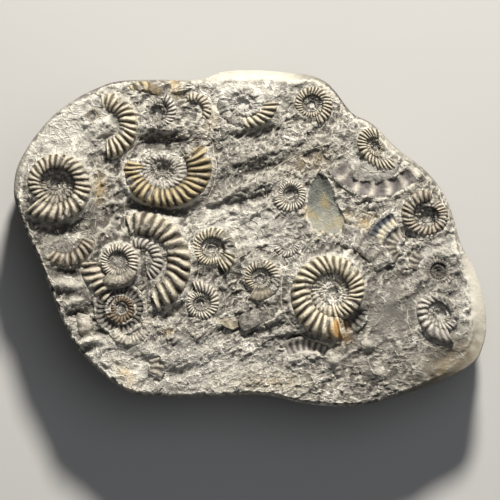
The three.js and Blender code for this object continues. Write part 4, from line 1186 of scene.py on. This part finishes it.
def broken_stone(add, web_share=1.0):
    """The stone's own place, fine relief and clouds, and its colour, which is darker where the fine
    relief is low, as painted shade. A pattern's scale is one over the size of its grain in metres;
    grains under 0.6 mm are left to the bump, too fine to show by themselves."""
    place = add("TexCoord", out="Object")
    # Flakes 1.1 mm across, pushed out of shape by up to 2.4 mm.
    drift = add("TexNoise", {"Vector": place, "Scale": 420.0, "Detail": 3.0}, "Color")
    pushed = add("VectorMath", (drift, (2.4 * MM,) * 3, place), operation="MULTIPLY_ADD")
    chips = add("TexVoronoi", {"Vector": pushed, "Scale": 900.0}, "Color")
    chip_level = add("SeparateColor", (chips,))
    # Grains of 0.7 mm and smaller, and clouds 12 mm wide.
    grains = add("TexNoise", {"Vector": place, "Scale": 1500.0, "Detail": 3.0, "Roughness": 0.7})
    clouds = add("TexNoise", {"Vector": place, "Scale": 85.0, "Detail": 6.0, "Roughness": 0.65})
    # The pale web of shell edges, in meshes of 3 mm and 1.3 mm.
    webs = []
    for scale, far, strength in ((330.0, 0.1, 1.0), (780.0, 0.13, 0.6)):
        gap = add("TexVoronoi", {"Vector": pushed, "Scale": scale}, "Distance",
                  feature="DISTANCE_TO_EDGE")
        webs.append(add("MapRange", (gap, 0.02, far, strength, 0.0)))
    web = add("Math", webs, operation="MAXIMUM")
    web = add("Math", (web, add("MapRange", (clouds, 0.4, 0.62))), operation="MULTIPLY")
    # The cut edges of layers: thin wandering lines about 1 mm apart, where the web is weak.
    laid = add("Mapping", {
        "Vector": place, "Rotation": (0.0, 0.0, -math.radians(52.0)), "Scale": (1 / 2.6, 1.0, 1.0)})
    level = add("TexNoise", {"Vector": laid, "Scale": 130.0, "Detail": 3.0, "Roughness": 0.55})
    lines = add("Math", (level, 9.0), operation="MULTIPLY")
    lines = add("Math", (lines,), operation="FRACT")
    lines = add("Math", (lines, 0.5), operation="SUBTRACT")
    lines = add("Math", (lines,), operation="ABSOLUTE")
    lines = add("MapRange", (lines, 0.03, 0.11, 1.0, 0.0))
    line_share = add("MapRange", (clouds, 0.6, 0.4, 0.0, 0.9))
    lines = add("Math", (lines, line_share), operation="MULTIPLY")
    web = add("Math", (web, lines), operation="MAXIMUM")
    web = add("Math", (web, web_share), operation="MULTIPLY")
    relief = summed(add, ((grains, 1.0), (chip_level, 0.45), (web, 0.7)))
    # The tone follows the bump's grains and chips, darker in their low places as painted shade, over
    # the stone's own clouds and pale web.
    tone = summed(add, ((grains, 0.4), (chip_level, 0.22), (clouds, 0.55), (web, 0.36)))
    colour = add("ValToRGB", (tone,), steps=[
        (0.38, "#39352f"), (0.52, "#66615a"), (0.66, "#8a857b"), (0.82, "#b7b1a5"),
        (1.0, "#ece6da")])
    return place, colour, relief, clouds


def limestone_material():
    """Fossil limestone, split and weathered: grey-brown, with a painted highlight on its crests and
    painted shade in its hollows.
    """
    # The darkest of these colours is painted shadow, and in places stone that is dark of itself.
    stain_and_shadow_looks = {"mud": (0.85, "#625d54"), "pale": (0.78, "#e4dfd2"), "violet": (0.5, "#84807f"),
                   "ochre": (0.65, "#b99d66"), "orange": (0.6, "#a07c48"), "shadow_and_dirt": (0.8, "#2c2822")}
    material, add, (face, hollow, rim, *stains_and_shadows) = new_material(
        "weathered_fossil_limestone", ("face", "hollow", "rim", *stain_and_shadow_looks))
    # The web of thin shell edges shows on the weathered face; it is lost down the sides and in mud.
    mud = add("Math", (stains_and_shadows[0], 1.0), operation="MINIMUM")
    clean = add("MapRange", (mud, 0.3, 1.0, 1.0, 0.3))
    web_share = add("Math", (face, clean), operation="MULTIPLY")
    _, stone, relief, _ = broken_stone(add, web_share)
    # The worn rim: ground smooth, cream and faintly speckled.
    specks = add("MapRange", (relief, 0.8, 1.6, 0.0, 0.4))
    layers = [
        # Painted shade in the hollows and a painted highlight on the raised places, both from the
        # hollow mark.
        (add("MapRange", (hollow, 0.0, 0.7, 0.0, 0.8)), "#332d25"),
        (add("MapRange", (hollow, 0.0, -0.7, 0.0, 0.6)), "#ddd6c5"),
        (rim, laid_over(add, "#b6b0a1", [(specks, "#877f6d")]))]
    for stain, (amount, colour) in zip(stains_and_shadows, stain_and_shadow_looks.values()):
        layers.append((add("Math", (stain, amount), operation="MULTIPLY"), colour))
    filled = add("MapRange", (mud, 0.4, 1.0, 0.0, 0.6))
    smoothed = add("Math", (rim, filled), operation="MAXIMUM")
    strength = add("MapRange", (smoothed, 0.0, 1.0, 0.9, 0.15))
    return finish_material(material, laid_over(add, stone, layers), 0.88, {
        "Height": relief, "Strength": strength, "Distance": 0.0007})


def hash_material():
    """Broken slivers of calcite shell: cream to grey-brown, dull, each of its own tone."""
    material, add, (tone,) = new_material("broken_shell_hash", ("tone",))
    shade = add("ValToRGB", (tone,), steps=[
        (0.0, "#6a6256"), (0.45, "#938b7c"), (0.8, "#c0b8a7"), (1.0, "#e4dcca")])
    return finish_material(material, laid_over(add, shade, [(0.55, broken_stone(add)[1])]), 0.75)


def thread_material():
    """The thin worn edges of buried shells: pale cream calcite, slightly waxy."""
    material, add, _ = new_material("worn_shell_edge_calcite")
    return finish_material(material, laid_over(add, "#d2c9b2", [(0.4, broken_stone(add)[1])]), 0.6)


# Each finish's colours on the worn crests, the flanks and in the grooves, the dark groove colour
# being painted shade, and the slot it is in where that isn't its own.
CALCITE_LOOKS = {
    "cream_calcite": ("#c3b9a2", "#827762", "#453d31"),
    "pale_calcite": ("#c4bcac", "#827a6c", "#45403a"),
    "grey_calcite": ("#b9b2a6", "#7d776e", "#44403b"),
    "tan_calcite": ("#ab9c79", "#70624a", "#372e1f"),
    "umber_calcite": ("#b8ae9a", "#736a59", "#362f26"),
    "brown_calcite": ("#7a6850", "#4d4130", "#261f17"),
    "brown_shell": ("#a39784", "#6c6254", "#352e25", "umber_calcite"),
    "slate_calcite": ("#c4bbaa", "#7b746e", "#3f3a37", "grey_calcite"),
    "blue_cream_calcite": ("#b3aa91", "#666668", "#3a3d45", "umber_calcite"),
    "smoky_calcite": ("#827b70", "#44403b", "#1f1d1a", "grey_calcite"),
    "olive_shell": ("#8f8e81", "#63645c", "#3b3c36"),
}


def calcite_material(name):
    """Calcite shell, weathered out of the stone: pale on the worn ribs, with painted shade in the
    grooves between them and in the coil's seams, which are also dirty, and stone-coloured where the
    stone still clings to it."""
    crest_colour, flank_colour, groove_colour = CALCITE_LOOKS[name][:3]
    material, add, (crest, inner, buried, dirt_and_shade, pale, ochre, orange, shadow_and_dirt) = new_material(
        "weathered_" + name, ("crest", "inner", "buried", "dirt_and_shade", "pale", "ochre", "orange", "shadow_and_dirt"))
    place, stone, relief, clouds = broken_stone(add)
    # Uneven patches 3 mm across, over the ribs' own crests and grooves.
    patches = add("TexNoise", {"Vector": place, "Scale": 300.0, "Detail": 4.0, "Roughness": 0.6})
    uneven = add("Math", (patches, 0.5), operation="SUBTRACT")
    uneven = add("Math", (uneven, 0.9, crest), operation="MULTIPLY_ADD")
    shell = add("ValToRGB", (uneven,), steps=[
        (0.0, groove_colour), (0.34, flank_colour), (0.85, crest_colour)])
    # The shell's grain, darker where the bump is low and paler where it is high: painted shade in the
    # fine relief.
    grain = add("MapRange", (relief, 0.5, 1.3, 0.78, 1.2))
    shell = add("Mix", {"Factor": 1.0, "A": shell, "B": grain}, "Result",
                data_type="RGBA", blend_type="MULTIPLY")
    stony = add("Math", (inner, 0.6), operation="MULTIPLY")
    stony = add("Math", (buried, stony), operation="MAXIMUM")
    stony = add("Math", (stony, clouds), operation="ADD")
    stony = add("MapRange", (stony, 0.75, 1.25))
    stained = add("Math", (ochre, clouds), operation="MULTIPLY")
    # Painted shade, partly real dirtiness: the seams' mark and the stone's shadow patches darken the
    # shell.
    grime = add("Math", (shadow_and_dirt, 0.8), operation="MULTIPLY")
    grime = add("Math", (dirt_and_shade, grime), operation="MAXIMUM")
    cloudy = add("MapRange", (clouds, 0.3, 0.6, 0.55, 0.8))
    grime = add("Math", (grime, cloudy), operation="MULTIPLY")
    shell = laid_over(add, shell, [
        (add("MapRange", (pale, 0.5, 1.0, 0.0, 0.8)), "#cfccc3"),
        (add("MapRange", (stained, 0.1, 0.75, 0.0, 0.8)), "#a48d55"),
        (stony, stone),
        (add("MapRange", (pale, 0.5, 1.0, 0.0, 0.5)), "#cfccc3"),
        (add("MapRange", (orange, 0.2, 0.8, 0.0, 0.8)), "#b08a50"),
        (grime, "#2f2a23")])
    strength = add("MapRange", (stony, 0.0, 1.0, 0.5, 0.9))
    return finish_material(material, shell, 0.68, {
        "Height": relief, "Strength": strength, "Distance": 0.0005})


# ---- Assembly ---------------------------------------------------------------------------------


def dress(piece, node, material, slot):
    """Gives a piece its material, its body and the solid that it stands for; the slot is not used."""
    piece.data.materials.append(material)
    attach(piece, "root")
    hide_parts(node)


place_camera()
light_the_room()
lay_floor()

finishes = {"limestone": limestone_material()}
block = build_block()
dress(block, "limestone_matrix", finishes["limestone"], "limestone")
for name in CALCITE_LOOKS:
    finishes[name] = calcite_material(name)
slots = {name: looks[3] for name, looks in CALCITE_LOOKS.items() if len(looks) > 3}

solid_pieces = [block]
for made_by, entries in ((build_shell, SHELLS), (build_mould, MOULDS), (build_plate, PLATES)):
    for entry in entries:
        piece = made_by(entry)
        finish = entry["finish"]
        dress(piece, entry["node"], finishes[finish], slots.get(finish, finish))
        solid_pieces.append(piece)

touch = surface_under(solid_pieces)
dice = random.Random(7)
for made_by, material in ((build_threads, thread_material()), (build_flakes, hash_material())):
    dress(made_by(touch, dice), "limestone_matrix", material, "limestone")
